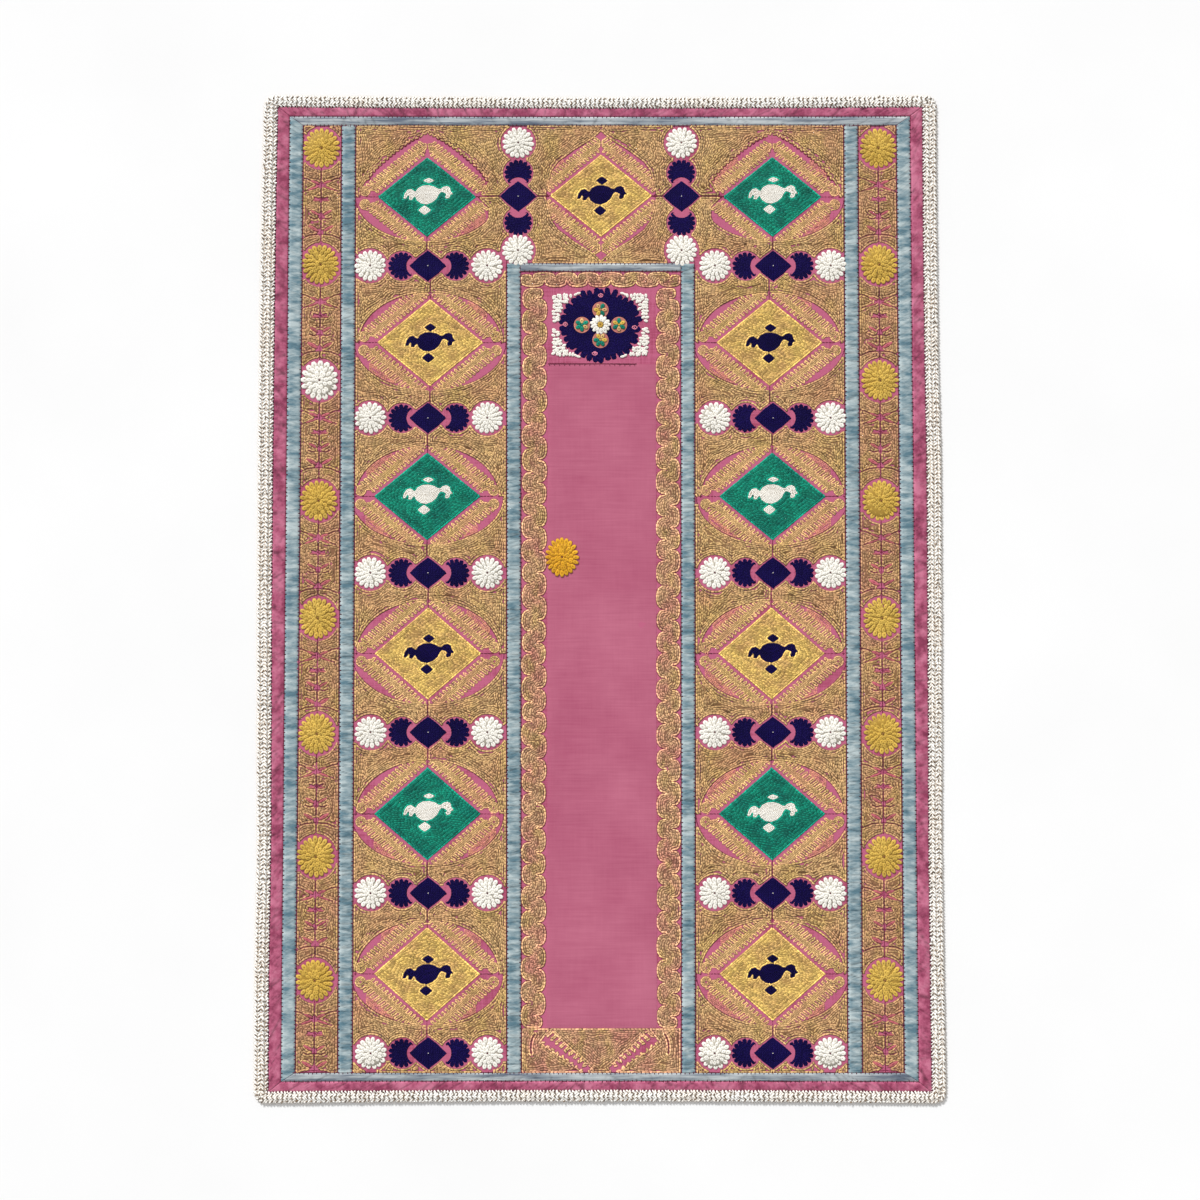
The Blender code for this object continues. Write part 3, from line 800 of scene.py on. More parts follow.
ochre_silk = thread(
    "ochre silk", dyed(226, 186, 128), dyed(104, 64, 44), dyed(212, 154, 116), dyed(214, 180, 110),
    outline=1.14, blot=0.10, low=0.12, full=0.84, spread=0.36,
)
feather_silk = thread(
    "feather silk", dyed(226, 184, 126), dyed(92, 54, 40), dyed(212, 154, 118), dyed(212, 176, 110),
    outline=1.34, blot=0.05, low=0.08, full=0.75, spread=0.32,
)
salmon_silk = thread(
    "salmon silk", dyed(222, 150, 124), dyed(156, 78, 80), dyed(206, 122, 126),
    outline=1.1, blot=0.03, spread=0.3,
)
feather_stitch = grain("feather stitch", FEATHER_LENGTH * 1.25, FEATHER_PITCH * 1.4, FINE_RISE)
draws = np.random.default_rng(9)
feather_rows, salmon_rows, spines = [], [], []
for lozenge in bird_lozenges:
    height, cx, wide, tall, _ = lozenge
    cy = FOOT_EDGE + height
    for side in (-1, 1):
        for end in (-1, 1):
            spines.append(spine_band(lozenge, side, end))
            near = (cx - side * BOX_OVER, cy)
            far = (cx + side * (wide + FEATHER_BOX[0]), cy + end * (tall + FEATHER_BOX[1]))
            x, y = grid_over(np.minimum(near, far), np.maximum(near, far), FEATHER_GRID)
            worked_area, eye_area = feather(x, y, lozenge, side, end), within(x, y, eye(lozenge))
            feather_rows.append(echo_rows(x, y, np.minimum(worked_area, eye_area), FEATHER_PITCH))
            first = CRESCENT_FIRST[0] + CRESCENT_FIRST[1] * draws.random()
            last = first + CRESCENT_LONG[0] + CRESCENT_LONG[1] * draws.random()
            chosen = draws.random() < CRESCENT_SHARE
            if side < 0 < end if lozenge is HEAD_LOZENGE else chosen:
                off = np.abs(x - cx)
                beyond = -within(x, y, diamond(cx, cy, wide, tall)) - SPINE_OFF
                limits = [eye_area - CRESCENT_IN, -worked_area - CRESCENT_GAP, beyond]
                limits += [off - first, last - off]
                salmon_rows.append(echo_rows(x, y, np.minimum.reduce(limits), FINE_PITCH))
embroidered("feathers", feather_rows, feather_stitch, FEATHER_LENGTH, feather_silk)
padding("feather_padding", spines, feather_silk, crest=0.42)
embroidered("salmon_crescents", salmon_rows, fine_stitch, FINE_LENGTH, salmon_silk)

# ---------------------------------------------------------------------------------------------------
# Bands between the lozenges, and the stacks beside the head one: navy silk lozenges and toothed fans,
# with white rosettes at their ends. A narrow line of bare cloth is left round each.

BAND_HEIGHTS = (1.324, 1.0785, 0.831, 0.5785, 0.326, 0.0770)
BAND_LEFT, BAND_RIGHT = (-0.363, -0.313, -0.272, -0.228, -0.178), (0.182, 0.231, 0.274, 0.317, 0.365)
BAND_SPREAD, SPREAD_FROM = 0.020, 0.70  # the columns stand wider apart towards the head
STACK_X, STACK_HEIGHT = 0.131, 1.437
STACK_FANS = ((1.475, -90), (1.395, 90))  # height, and the way the bite faces
NAVY_LOZENGE, NAVY_SWELL = (0.0290, 0.0245), 1.06
FAN_DISC, FAN_TEETH, FAN_TOOTH, FAN_FIRST, FAN_ROOT = (0.0184, 0.0190), 12, 0.0033, 46, 0.80
TOOTH_BEND = 95  # how far round each tooth's end goes, in degrees either way
BITE_OFF, BITE_RADIUS, BITE_HALF = 0.0238, 0.0170, 62

bands = [
    ([x * (1 + BAND_SPREAD * (height - SPREAD_FROM)) for x in columns], FOOT_EDGE + height)
    for height in BAND_HEIGHTS
    for columns in (BAND_LEFT, BAND_RIGHT)
]
navy_lozenges = [(columns[2], y) for columns, y in bands]
fans = [(columns[place], y, facing) for columns, y in bands for place, facing in ((1, 0), (3, 180))]
for side in (-1, 1):
    navy_lozenges.append((side * STACK_X, FOOT_EDGE + STACK_HEIGHT))
    fans += [(side * STACK_X, FOOT_EDGE + height, facing) for height, facing in STACK_FANS]


def fan(cx, cy, facing):
    """The outline of a toothed fan. facing is the way its bite looks, in degrees."""
    points = []
    angles = np.linspace(FAN_FIRST, 360 - FAN_FIRST, FAN_TEETH)
    for number, angle in enumerate(angles):
        spot = (FAN_DISC[0] * cos(radians(angle)), FAN_DISC[1] * sin(radians(angle)))
        points += oval(*spot, FAN_TOOTH, FAN_TOOTH, 5, angle - TOOTH_BEND, angle + TOOTH_BEND)
        if number < FAN_TEETH - 1:
            valley = radians(angle + (180 - FAN_FIRST) / (FAN_TEETH - 1))
            points.append((FAN_ROOT * FAN_DISC[0] * cos(valley), FAN_ROOT * FAN_DISC[1] * sin(valley)))
    bite = oval(0, 0, BITE_RADIUS, BITE_RADIUS, 9, 180 + BITE_HALF, 180 - BITE_HALF)
    points += [(BITE_OFF + u, v) for u, v in bite]
    turn = radians(facing)
    return [(cx + u * cos(turn) - v * sin(turn), cy + u * sin(turn) + v * cos(turn)) for u, v in points]


navy_outlines = [fan(*each) for each in fans]
navy_outlines += [diamond(cx, cy, *NAVY_LOZENGE, NAVY_SWELL) for cx, cy in navy_lozenges]
navy_rows = []
for outline in navy_outlines:
    x, y = grid_over(np.min(outline, axis=0), np.max(outline, axis=0), FEATHER_GRID)
    navy_rows.append(echo_rows(x, y, within(x, y, outline), FEATHER_PITCH))
embroidered("navy_bands", navy_rows, feather_stitch, FEATHER_LENGTH, navy_silk)
padding("navy_band_padding", navy_outlines, navy_silk)

# ---------------------------------------------------------------------------------------------------
# Rosettes: rings of chain loops over a padded round, each ring a little higher than the one outside it,
# in white, yellow and one in deeper orange. A knot of dark thread marks each middle.

VINE_X, VINE_HEIGHTS, PALE_ONE = 0.447, (1.515, 1.326, 1.139, 0.946, 0.759, 0.576, 0.383, 0.190), 1.139
PALE_RADII, VINE_RADII, FIELD_RADII = (0.0260, 0.0260), (0.0306, 0.0332), (0.0275, 0.0320)
STACK_ROSETTES = (1.524, 1.3490)
FIELD_ROSETTE, FIELD_FACE = (-0.0600, 0.856), 0.00295
PALE_RINGS = (  # of each ring: where its loops' roots and tips are, as shares, how many, and how high
    (0.56, 1.00, 16, 0.0002), (0.36, 0.72, 15, 0.0008), (0.16, 0.48, 10, 0.0013), (0.04, 0.24, 6, 0.0017),
)
VINE_RINGS = (
    (0.60, 1.00, 20, 0.0002), (0.42, 0.74, 19, 0.0007), (0.22, 0.54, 13, 0.0012), (0.06, 0.32, 8, 0.0017),
)
FIELD_RINGS = (
    (0.56, 1.00, 20, 0.0002), (0.36, 0.70, 18, 0.0008), (0.16, 0.48, 12, 0.0013), (0.04, 0.24, 7, 0.0017),
)
# A loop's crest share paints shade at its rim and in its middle groove, and a highlight on its ridges.
PETAL_RINGS = ((1.0, 0.0, 0.0), (0.88, 0.55, 0.5), (0.58, 1.0, 1.0), (0.12, 0.62, 0.1))  # size, rise, crest
PETAL_STEPS, LOOP_RISE = 7, 0.0014
PETAL_FILL, HEART_FILL = {16: 0.90, 20: 0.90, 13: 0.92}, 0.88  # how much of its room a loop is wide
ROSETTE_TURN = 0.7  # each rosette is turned this far from the one before, in radians
RING_STRAY, RIM_TURN, HEART_TURN = 0.05, 0.04, 0.14  # how far loops stray and turn, in radians
LOOP_LONG, LOOP_WIDE = (0.92, 1.04), (0.9, 1.06)
PAD_RINGS, PAD_SIDES, PAD_FOOT = ((0.80, 0.0), (0.77, 0.0007), (0.50, 0.0013), (0.20, 0.0018)), 26, 0.0003
# The pads' crest: low values paint the shade between the rosettes' loops in a deep tone of the silk.
PAD_CREST, GOLD_PAD_CREST = 0.10, 0.26
KNOT_SIZE, KNOT_LIFT = 0.0024, 0.0026
DOT_SIZE, DOT_OFF, DOT_LIFT = 0.0018, 0.0008, 0.0010


def join_rings(bm, rings):
    """Faces between each ring of points and the next."""
    for one, two in zip(rings, rings[1:]):
        for i in range(len(one)):
            j = (i + 1) % len(one)
            bm.faces.new((one[i], one[j], two[j], two[i]))


def petal_loop(name):
    """A fat loop pulled tight, one metre each way: a rounded petal with a shallow groove down its middle."""
    bm = bmesh.new()
    crests, rings = [], []
    for share, rise, crest in PETAL_RINGS:
        ring = []
        for step in range(PETAL_STEPS):
            turn = 2 * pi * step / PETAL_STEPS
            taper = 0.66 + 0.34 * ((1 - cos(turn)) / 2) ** 0.6
            spot = (0.52 - 0.5 * share * cos(turn), 0.5 * share * sin(turn) * taper)
            ring.append(bm.verts.new((*spot, rise)))
            crests.append(crest)
        rings.append(ring)
    join_rings(bm, rings)
    bm.faces.new(rings[-1])
    bm.faces.new(rings[0][::-1])
    bmesh.ops.recalc_face_normals(bm, faces=bm.faces)
    return repeatable(name, mesh_from(name, bm), crests)


def loop_tree():
    """Points in, loops out: one on each point, with the point's own turn and size."""
    tree, given, add = new_tree(
        "loops on points", "Loops", points="Geometry", loop="Object", seed="Int", thread="Material"
    )
    turn = add("GeometryNodeInputNamedAttribute", [("Name", "turn")], data_type="FLOAT")
    size = add("GeometryNodeInputNamedAttribute", [("Name", "size")], data_type="FLOAT_VECTOR")
    spin = turned_flat(add, turn.outputs[0])
    return finish_tree(tree, given, add, given["Points"], given["Loop"], spin, size.outputs[0])


def looped(name, places, thread, loop, seed=5):
    """Loops standing on places, each a row of x, y, z, turn, length, width and rise, as one piece."""
    places = np.array(places, float)
    mesh = bpy.data.meshes.new(name + " places")
    mesh.vertices.add(len(places))
    mesh.vertices.foreach_set("co", places[:, :3].ravel())
    mesh.attributes.new("row", "FLOAT", "POINT").data.foreach_set("value", [1.0] * len(places))
    mesh.attributes.new("turn", "FLOAT", "POINT").data.foreach_set("value", places[:, 3])
    mesh.attributes.new("size", "FLOAT_VECTOR", "POINT").data.foreach_set("vector", places[:, 4:].ravel())
    return worked(name, mesh, on_points, loop=loop, seed=seed, thread=thread)


def ring_places(cx, cy, radii, rings, face=None, start=0.0):
    """Where the loops of one rosette stand. Its rings are given as in the tables above."""
    places = []
    for number, (root, tip, count, lift) in enumerate(rings):
        for index in range(count):
            angle = start + 2 * pi * (index + 0.5 * (number % 2)) / count
            angle = angle + (number > 0) * draws.normal(0, RING_STRAY)
            ahead = (radii[0] * cos(angle), radii[1] * sin(angle))
            x, y = cx + ahead[0] * root, cy + ahead[1] * root
            base = lie(x, y) if face is None else face
            fill = PETAL_FILL.get(count, HEART_FILL) if tip == 1.0 else HEART_FILL
            length, width = (tip - root) * hypot(*ahead), 2 * pi * tip * hypot(*ahead) / count * fill
            turn = np.arctan2(ahead[1], ahead[0]) + draws.normal(0, RIM_TURN if tip == 1.0 else HEART_TURN)
            length, width = length * draws.uniform(*LOOP_LONG), width * draws.uniform(*LOOP_WIDE)
            places.append((x, y, base + lift, turn, length, width, LOOP_RISE))
    return places


def pads(name, rounds, thread, crest=PAD_CREST):
    """The padding under rosettes: a low closed dome for each, in the deeper tone of its silk that paints
    the shade between the loops.
    """
    bm = bmesh.new()
    for cx, cy, radii, face in rounds:
        base = lie(cx, cy) - PAD_FOOT if face is None else face - PAD_FOOT
        rings = []
        for share, rise in PAD_RINGS:
            height = base + PAD_FOOT * (rise > 0) + rise
            spots = oval(cx, cy, radii[0] * share, radii[1] * share, PAD_SIDES)
            rings.append([bm.verts.new((*spot, height)) for spot in spots])
        join_rings(bm, rings)
        bm.faces.new(rings[-1])
        bm.faces.new(reversed(rings[0]))
    mesh = mesh_from(name, bm)
    marked(mesh, crest)
    return fitted(made_of(name, mesh, thread))


on_points = loop_tree()
petal = petal_loop("petal")
gold_silk = thread(
    "gold silk", dyed(222, 184, 86), dyed(120, 80, 18), dyed(208, 168, 70), outline=1.0, spread=0.16
)
orange_silk = thread(
    "orange silk", dyed(238, 180, 46), dyed(136, 72, 6), dyed(222, 158, 34), outline=1.0, spread=0.16
)
maroon_thread = thread("maroon thread", dyed(120, 28, 62), dyed(74, 10, 36), outline=1.0)

pale_rounds = [(columns[place], y) for columns, y in bands for place in (0, 4)]
pale_rounds += [(side * STACK_X, FOOT_EDGE + height) for side in (-1, 1) for height in STACK_ROSETTES]
pale_rosettes = [(x, y, PALE_RADII, None) for x, y in pale_rounds]
vine_rosettes = []
for side in (-1, 1):
    for height in VINE_HEIGHTS:
        alike = pale_rosettes if side < 0 and height == PALE_ONE else vine_rosettes
        alike.append((side * VINE_X, FOOT_EDGE + height, VINE_RADII, None))
field_rosette = [(FIELD_ROSETTE[0], FOOT_EDGE + FIELD_ROSETTE[1], FIELD_RADII, FIELD_FACE)]
knots = []
for colour, rosettes, rings, silk, crest in (
    ("white", pale_rosettes, PALE_RINGS, white_silk, PAD_CREST),
    ("gold", vine_rosettes, VINE_RINGS, gold_silk, GOLD_PAD_CREST),
    ("orange", field_rosette, FIELD_RINGS, orange_silk, GOLD_PAD_CREST),
):
    places = []
    for number, (cx, cy, radii, face) in enumerate(rosettes):
        places += ring_places(cx, cy, radii, rings, face, start=ROSETTE_TURN * number)
        base = lie(cx, cy) if face is None else face
        knots.append((cx - KNOT_SIZE / 2, cy, base + KNOT_LIFT, 0.0, KNOT_SIZE, KNOT_SIZE, KNOT_SIZE / 2))
    looped(f"{colour}_rosettes", places, silk, petal)
    pads(f"{colour}_rosette_pads", rosettes, silk, crest)
looped("rosette_knots", knots, maroon_thread, petal)
dot = (0.0, DOT_SIZE, DOT_SIZE, DOT_SIZE / 2)
dots = [(x - DOT_OFF, y, lie(x, y) + DOT_LIFT, *dot) for x, y in navy_lozenges]
looped("band_dots", dots, white_silk, petal)

# ---------------------------------------------------------------------------------------------------
# Medallion at the head of the niche: a navy silk wreath with flame teeth, left open for a cross of four
# patchwork rounds, with a white daisy in the middle and a white looped spray in each corner.

MEDALLION, MEDALLION_GRID = (0.001, FOOT_EDGE + 1.2285), 0.0008
WREATH_TIPS, WREATH_ROOTS, WREATH_BOX = (0.0612, 0.0554), (0.0556, 0.0498), (0.067, 0.061)
FLAMES, FLAME_ROUND, FLAME_SIZES = 37, 0.0046, (0.82, 1.08)
FLAME_STRAY, FLAME_UNEVEN, FLAME_CURL = 0.12, 0.026, 22  # share of a tooth, share of the reach, degrees
ARM_ROUND, ARM_OUT, ARM_UP, ARM_BOX, HUB_ROUND, CROSS_GAP = 0.0130, 0.0296, 0.0244, 0.014, 0.0180, 0.0012
CROSS_PAD_LIFT, RIM_ROWS = 0.0007, 0.6
CROSS_TONES = "gcgcgg", "gygcgy", "ycyggg", "yygcgc"  # green, cream or yellow, round each arm
CROSS_LEAF, LEAF_OFF, LEAF_LIFT = (0.0104, 0.0078, LOOP_RISE), 0.0010, 0.0010
CROSS_HEART, HEART_LIFT = (0.0044, 0.0044, 0.0010), 0.0018
NOTCHES = ((0.0005, 0.0478), (-0.0560, 0.0010), (0.0548, -0.0040), (-0.0090, -0.0462))
NOTCH, NOTCH_SWELL, NOTCH_BOX = (0.0052, 0.0042), 1.2, (0.064, 0.054)
DAISY_RINGS, DAISY_RADII = ((0.30, 1.00, 13, 0.0010), (0.26, 0.74, 11, 0.0016)), (0.0172, 0.0168)
DAISY_EYE_RINGS, DAISY_EYE = ((0.15, 1.0, 8, 0.0020),), (0.0052, 0.0052)
DAISY_PAD, DAISY_EYE_PAD, DAISY_EYE_LIFT = (0.0120, 0.0118), (0.0058, 0.0058), 0.0012
SPRAY_CORNER, SPRAY_ENDS, SPRAY_INNER = (0.0755, 0.0488), (0.0385, 0.0070), (0.0684, 0.0606)
SPRAY_STEP, SPRAY_LONG, SPRAY_WIDE, SPRAY_LIFT = 0.0050, 0.0082, 0.0058, 0.0003
SPRAY_STRAY, SPRAY_TURN, SPRAY_RIM, SPRAY_RIM_TURN = 0.0014, 0.5, 0.0060, 0.4
SPRAY_TIPS, TIP_WIDE = ((0.0392, 0.0495, -0.5), (0.0348, 0.0512, -0.2)), 0.85


def flames(cx, cy):
    """The outline of the wreath: rounded teeth, a little uneven, with narrow valleys between them."""
    points, draws = [], np.random.default_rng(13)
    for tooth in range(FLAMES):
        turn = 2 * pi * (tooth + FLAME_STRAY * draws.normal()) / FLAMES
        reach = 1 + FLAME_UNEVEN * draws.normal()
        spot = (cx + WREATH_TIPS[0] * reach * cos(turn), cy + WREATH_TIPS[1] * reach * sin(turn))
        ahead, plump = np.degrees(turn) + FLAME_CURL, FLAME_ROUND * draws.uniform(*FLAME_SIZES)
        points += oval(*spot, plump, plump, 5, ahead - 90, ahead + 90)
        valley = 2 * pi * (tooth + 0.5) / FLAMES
        points.append((cx + WREATH_ROOTS[0] * cos(valley), cy + WREATH_ROOTS[1] * sin(valley)))
    return points


def grid_round(cx, cy, wide, tall):
    """A fine grid over the box that reaches this far from a middle each way."""
    return grid_over((cx - wide, cy - tall), (cx + wide, cy + tall), MEDALLION_GRID)


def spray_loop(side, end, u, v, along, wide):
    """Where a loop of a corner's spray stands. u, v and along say where it would be in the first corner."""
    turn = np.arctan2(end * sin(along), side * cos(along))
    x = MEDALLION[0] + side * u - SPRAY_LONG / 2 * cos(turn)
    y = MEDALLION[1] + end * v - SPRAY_LONG / 2 * sin(turn)
    return x, y, lie(x, y) + SPRAY_LIFT, turn, SPRAY_LONG, wide, LOOP_RISE


cx, cy = MEDALLION
arms = [(cx - ARM_OUT, cy), (cx + ARM_OUT, cy), (cx, cy - ARM_UP), (cx, cy + ARM_UP)]
notches = [diamond(cx + nx, cy + ny, *NOTCH, NOTCH_SWELL) for nx, ny in NOTCHES]
teeth = flames(cx, cy)
x, y = grid_round(cx, cy, *WREATH_BOX)
openings = [HUB_ROUND - np.hypot(x - cx, y - cy), inside(x, y, notches)]
openings += [ARM_ROUND + CROSS_GAP - np.hypot(x - ax, y - ay) for ax, ay in arms]
wreath = np.minimum(within(x, y, teeth), -np.maximum.reduce(openings))
embroidered("wreath", [echo_rows(x, y, wreath, FEATHER_PITCH)], feather_stitch, FEATHER_LENGTH, navy_silk)
padding("wreath_padding", [teeth], navy_silk)
rose_silk = thread("rose silk", dyed(222, 134, 158), dyed(150, 60, 92), dyed(214, 120, 130))
x, y = grid_round(cx, cy, *NOTCH_BOX)
notch_rows = [echo_rows(x, y, inside(x, y, notches), FINE_PITCH)]
embroidered("wreath_notches", notch_rows, fine_stitch, FINE_LENGTH, rose_silk)
arm_rounds = [oval(ax, ay, ARM_ROUND, ARM_ROUND) for ax, ay in arms]
padding("cross_padding", arm_rounds, salmon_silk, CROSS_PAD_LIFT)
rim_rows, leaves = [], {"g": [], "c": [], "y": []}
for (ax, ay), tones in zip(arms, CROSS_TONES):
    x, y = grid_round(ax, ay, ARM_BOX, ARM_BOX)
    rim_rows.append(echo_rows(x, y, ARM_ROUND - np.hypot(x - ax, y - ay), FINE_PITCH, limit=RIM_ROWS))
    for number, tone in enumerate(tones):
        turn = np.arctan2(ay - cy, ax - cx) + pi / 2 + pi * number / 3
        spot = (ax + LEAF_OFF * cos(turn), ay + LEAF_OFF * sin(turn))
        leaves[tone].append((*spot, lie(*spot) + LEAF_LIFT, turn, *CROSS_LEAF))
    heart = "ycg"[len(leaves["c"]) % 3]
    leaves[heart].append((ax - CROSS_HEART[0] / 2, ay, lie(ax, ay) + HEART_LIFT, 0.0, *CROSS_HEART))
embroidered("cross_rims", rim_rows, fine_stitch, FINE_LENGTH, salmon_silk)
for tone, label, silk in (("g", "green", green_silk), ("y", "gold", gold_silk), ("c", "cream", ochre_silk)):
    looped(f"cross_{label}_leaves", leaves[tone], silk, petal)
looped("daisy", ring_places(cx, cy, DAISY_RADII, DAISY_RINGS), white_silk, petal)
looped("daisy_eye", ring_places(cx, cy, DAISY_EYE, DAISY_EYE_RINGS), gold_silk, petal)
pads("daisy_pad", [(cx, cy, DAISY_PAD, None)], white_silk)
pads("daisy_eye_pad", [(cx, cy, DAISY_EYE_PAD, lie(cx, cy) + DAISY_EYE_LIFT)], gold_silk)

draws = np.random.default_rng(17)
sprays = []
for side in (-1, 1):
    for end in (-1, 1):
        sprays += [spray_loop(side, end, *tip, TIP_WIDE * SPRAY_WIDE) for tip in SPRAY_TIPS]
        for across in np.arange(SPRAY_ENDS[0], SPRAY_CORNER[0], SPRAY_STEP):
            for up in np.arange(SPRAY_ENDS[1], SPRAY_CORNER[1], SPRAY_STEP):
                u, v = np.array([across, up]) + draws.uniform(-SPRAY_STRAY, SPRAY_STRAY, 2)
                if hypot(u / SPRAY_INNER[0], v / SPRAY_INNER[1]) < 1:
                    continue
                along = np.arctan2(v, u) + draws.uniform(-SPRAY_TURN, SPRAY_TURN)
                left_out, left_up = SPRAY_CORNER[0] - u, SPRAY_CORNER[1] - v
                if min(left_out, left_up) < SPRAY_RIM:  # loops along the rim stand square to it
                    square = pi / 2 if left_out > left_up else 0.0
                    along = draws.uniform(-SPRAY_RIM_TURN, SPRAY_RIM_TURN) + square
                sprays.append(spray_loop(side, end, u, v, along, SPRAY_WIDE))
looped("corner_sprays", sprays, white_silk, petal)

# ---------------------------------------------------------------------------------------------------
# Vine: between the rosettes of each side strip a stem runs down in maroon thread, with pairs of leaves.
# The same thread draws the stems that join the lozenges, and edges their eyes. All these lines lie in
# narrow gaps or along edges left bare in the ochre ground, and their dark maroon is partly the thread's
# own colour and partly painted shade there. The line along one side of each leaf and the short line out
# from each lozenge's tip are painted shade.

VINE_LINES = (  # thin strokes of one pair, mirrored, measured from a rosette's middle
    ((0.0150, -0.0535), (0.0240, -0.0495), (0.0320, -0.0480)),
    ((0.0200, -0.0675), (0.0270, -0.0700)),
    ((0.0000, -0.0820), (0.0110, -0.0795)),
    ((0.0020, -0.1135), (0.0110, -0.1150), (0.0170, -0.1125)),
    ((0.0030, -0.1400), (0.0180, -0.1415), (0.0310, -0.1470)),
)
VINE_LEAVES = (  # root, tip, and half width
    ((0.0005, -0.0585), (0.0160, -0.0530), 0.0023),
    ((0.0010, -0.0610), (0.0205, -0.0680), 0.0019),
    ((0.0005, -0.0850), (0.0135, -0.0845), 0.0016),
    ((0.0010, -0.1100), (0.0165, -0.1010), 0.0024),
    ((0.0010, -0.1365), (0.0195, -0.1260), 0.0029),
)
LEAF_STEPS, LEAF_SIZES, LEAF_IN, LEAF_WIDE = 8, (0.85, 1.2), 0.08, 2.1
VINE_LEAF_LIFT, VINE_LEAF_RISE = 0.0002, 0.0007
STEM_TOP, STEM_FOOT = -0.033, -0.156
STEM_HALF, THIN_HALF, TIP_START, TIP_LINE = 0.0008, 0.0005, 0.001, 0.0160
STACK_LINES = ((-0.029, 0.084), (0.029, 0.198))  # from the stack's middle, to the textile's own x
BARE_ARC, HEAD_ARC, HEAD_ARC_UP = 0.043, 0.012, 0.02  # where the line round an eye starts
FOOT_TAPE_IN = FOOT_EDGE + 0.0461  # the upper edge of the foot tape
ROW_STEP = 0.0015
STEM_STITCH, STEM_LENGTH = (0.0050, 0.0016, 0.0006), 0.0044


def leaf(root, tip, half):
    """A leaf's outline between two points."""
    (ax, ay), (bx, by) = root, tip
    long = hypot(bx - ax, by - ay)
    side = ((ay - by) / long, (bx - ax) / long)
    shares = np.linspace(0, 1, LEAF_STEPS + 1)
    edge = [(ax + (bx - ax) * t, ay + (by - ay) * t, half * sin(pi * t) ** 0.8) for t in shares]
    upper = [(x + side[0] * w, y + side[1] * w) for x, y, w in edge]
    return upper + [(x - side[0] * w, y - side[1] * w) for x, y, w in edge[-2:0:-1]]


def line_row(points, step=ROW_STEP):
    """A given line as one row to stitch along."""
    points = np.array(points, float)
    lengths = lengths_along(points)
    spots = spots_along(points, lengths, np.linspace(0, lengths[-1], max(2, round(lengths[-1] / step))))
    count = np.arange(len(spots) - 1)
    return spots, np.ones(len(spots)), np.stack([count, count + 1], 1)


strokes, bare_leaves, filled = [], [], []  # what the ochre ground leaves free, and the leaves worked in it
for side in (-1, 1):
    x = side * VINE_X
    for height in VINE_HEIGHTS:
        y = FOOT_EDGE + height
        foot = max(y + STEM_FOOT, FOOT_TAPE_IN)
        strokes.append((STEM_HALF, [(x, y + STEM_TOP), (x, foot)]))
        for hand in (-1, 1):
            strokes += [(THIN_HALF, [(x + hand * px, y + py) for px, py in points]) for points in VINE_LINES]
            for root, tip, half in VINE_LEAVES:
                (rx, ry), (tx, ty) = [(x + hand * px, y + py) for px, py in (root, tip)]
                half = half * draws.uniform(*LEAF_SIZES)
                bare_leaves.append(leaf((rx, ry), (tx, ty), half))
                turn, long = np.arctan2(ty - ry, tx - rx), hypot(tx - rx, ty - ry)
                rx, ry = rx + LEAF_IN * (tx - rx), ry + LEAF_IN * (ty - ry)
                place = (rx, ry, lie(rx, ry) + VINE_LEAF_LIFT)
                filled.append((*place, turn, long, LEAF_WIDE * half, VINE_LEAF_RISE))
for side in (-1, 1):
    column = sorted(lozenge for lozenge in bird_lozenges if lozenge[1] * side > 0.1)
    rising = sorted(BAND_HEIGHTS)
    for end, chosen in ((-1, rising), (1, rising[1:])):  # under each lozenge, then over all but the last
        for (height, cx, _, tall, _), band in zip(column, chosen):
            near = FOOT_EDGE + band - end * NAVY_LOZENGE[1]
            strokes.append((STEM_HALF, [(cx, near), (cx, FOOT_EDGE + height + end * tall)]))
    top_row = FOOT_EDGE + STACK_HEIGHT
    for from_stack, reach in STACK_LINES:
        strokes.append((STEM_HALF, [(side * (STACK_X + from_stack), top_row), (side * reach, top_row)]))
stem_stitch = grain("stem stitch", *STEM_STITCH)
stem_and_shade_rows = [line_row(points) for _, points in strokes]
# A maroon line along one side of each leaf paints the shade on that side.
for outline in bare_leaves:
    stem_and_shade_rows.append(line_row(outline[2 : len(outline) // 2 + 1]))
for lozenge in bird_lozenges:
    height, middle, wide, _, _ = lozenge
    level = FOOT_EDGE + height
    # A short maroon line out from each tip paints the shade there.
    for side in (-1, 1):
        tip = middle + side * (wide + TIP_START)
        stem_and_shade_rows.append(line_row([(tip, level), (tip + side * TIP_LINE, level)]))
    line = eye(lozenge)
    for near, far in zip(line, line[1:] + line[:1]):
        off = min(abs(near[0] - middle), abs(far[0] - middle))
        over_head_row = in_head_row(lozenge) and min(near[1], far[1]) > level + HEAD_ARC_UP
        if off > (HEAD_ARC if over_head_row else BARE_ARC):
            stem_and_shade_rows.append(line_row([near, far]))
embroidered("stems", stem_and_shade_rows, stem_stitch, STEM_LENGTH, maroon_thread)
leaf_silk = thread("leaf silk", dyed(196, 100, 112), dyed(104, 26, 56), dyed(186, 106, 100), outline=1.0)
looped("vine_leaves", filled, leaf_silk, petal)

# ---------------------------------------------------------------------------------------------------
# Ochre ground: once the motifs stand, all the cloth left between the tapes is filled with close rows of
# ochre silk that echo the motifs' outlines and wander where they have room. Only halos stay bare.

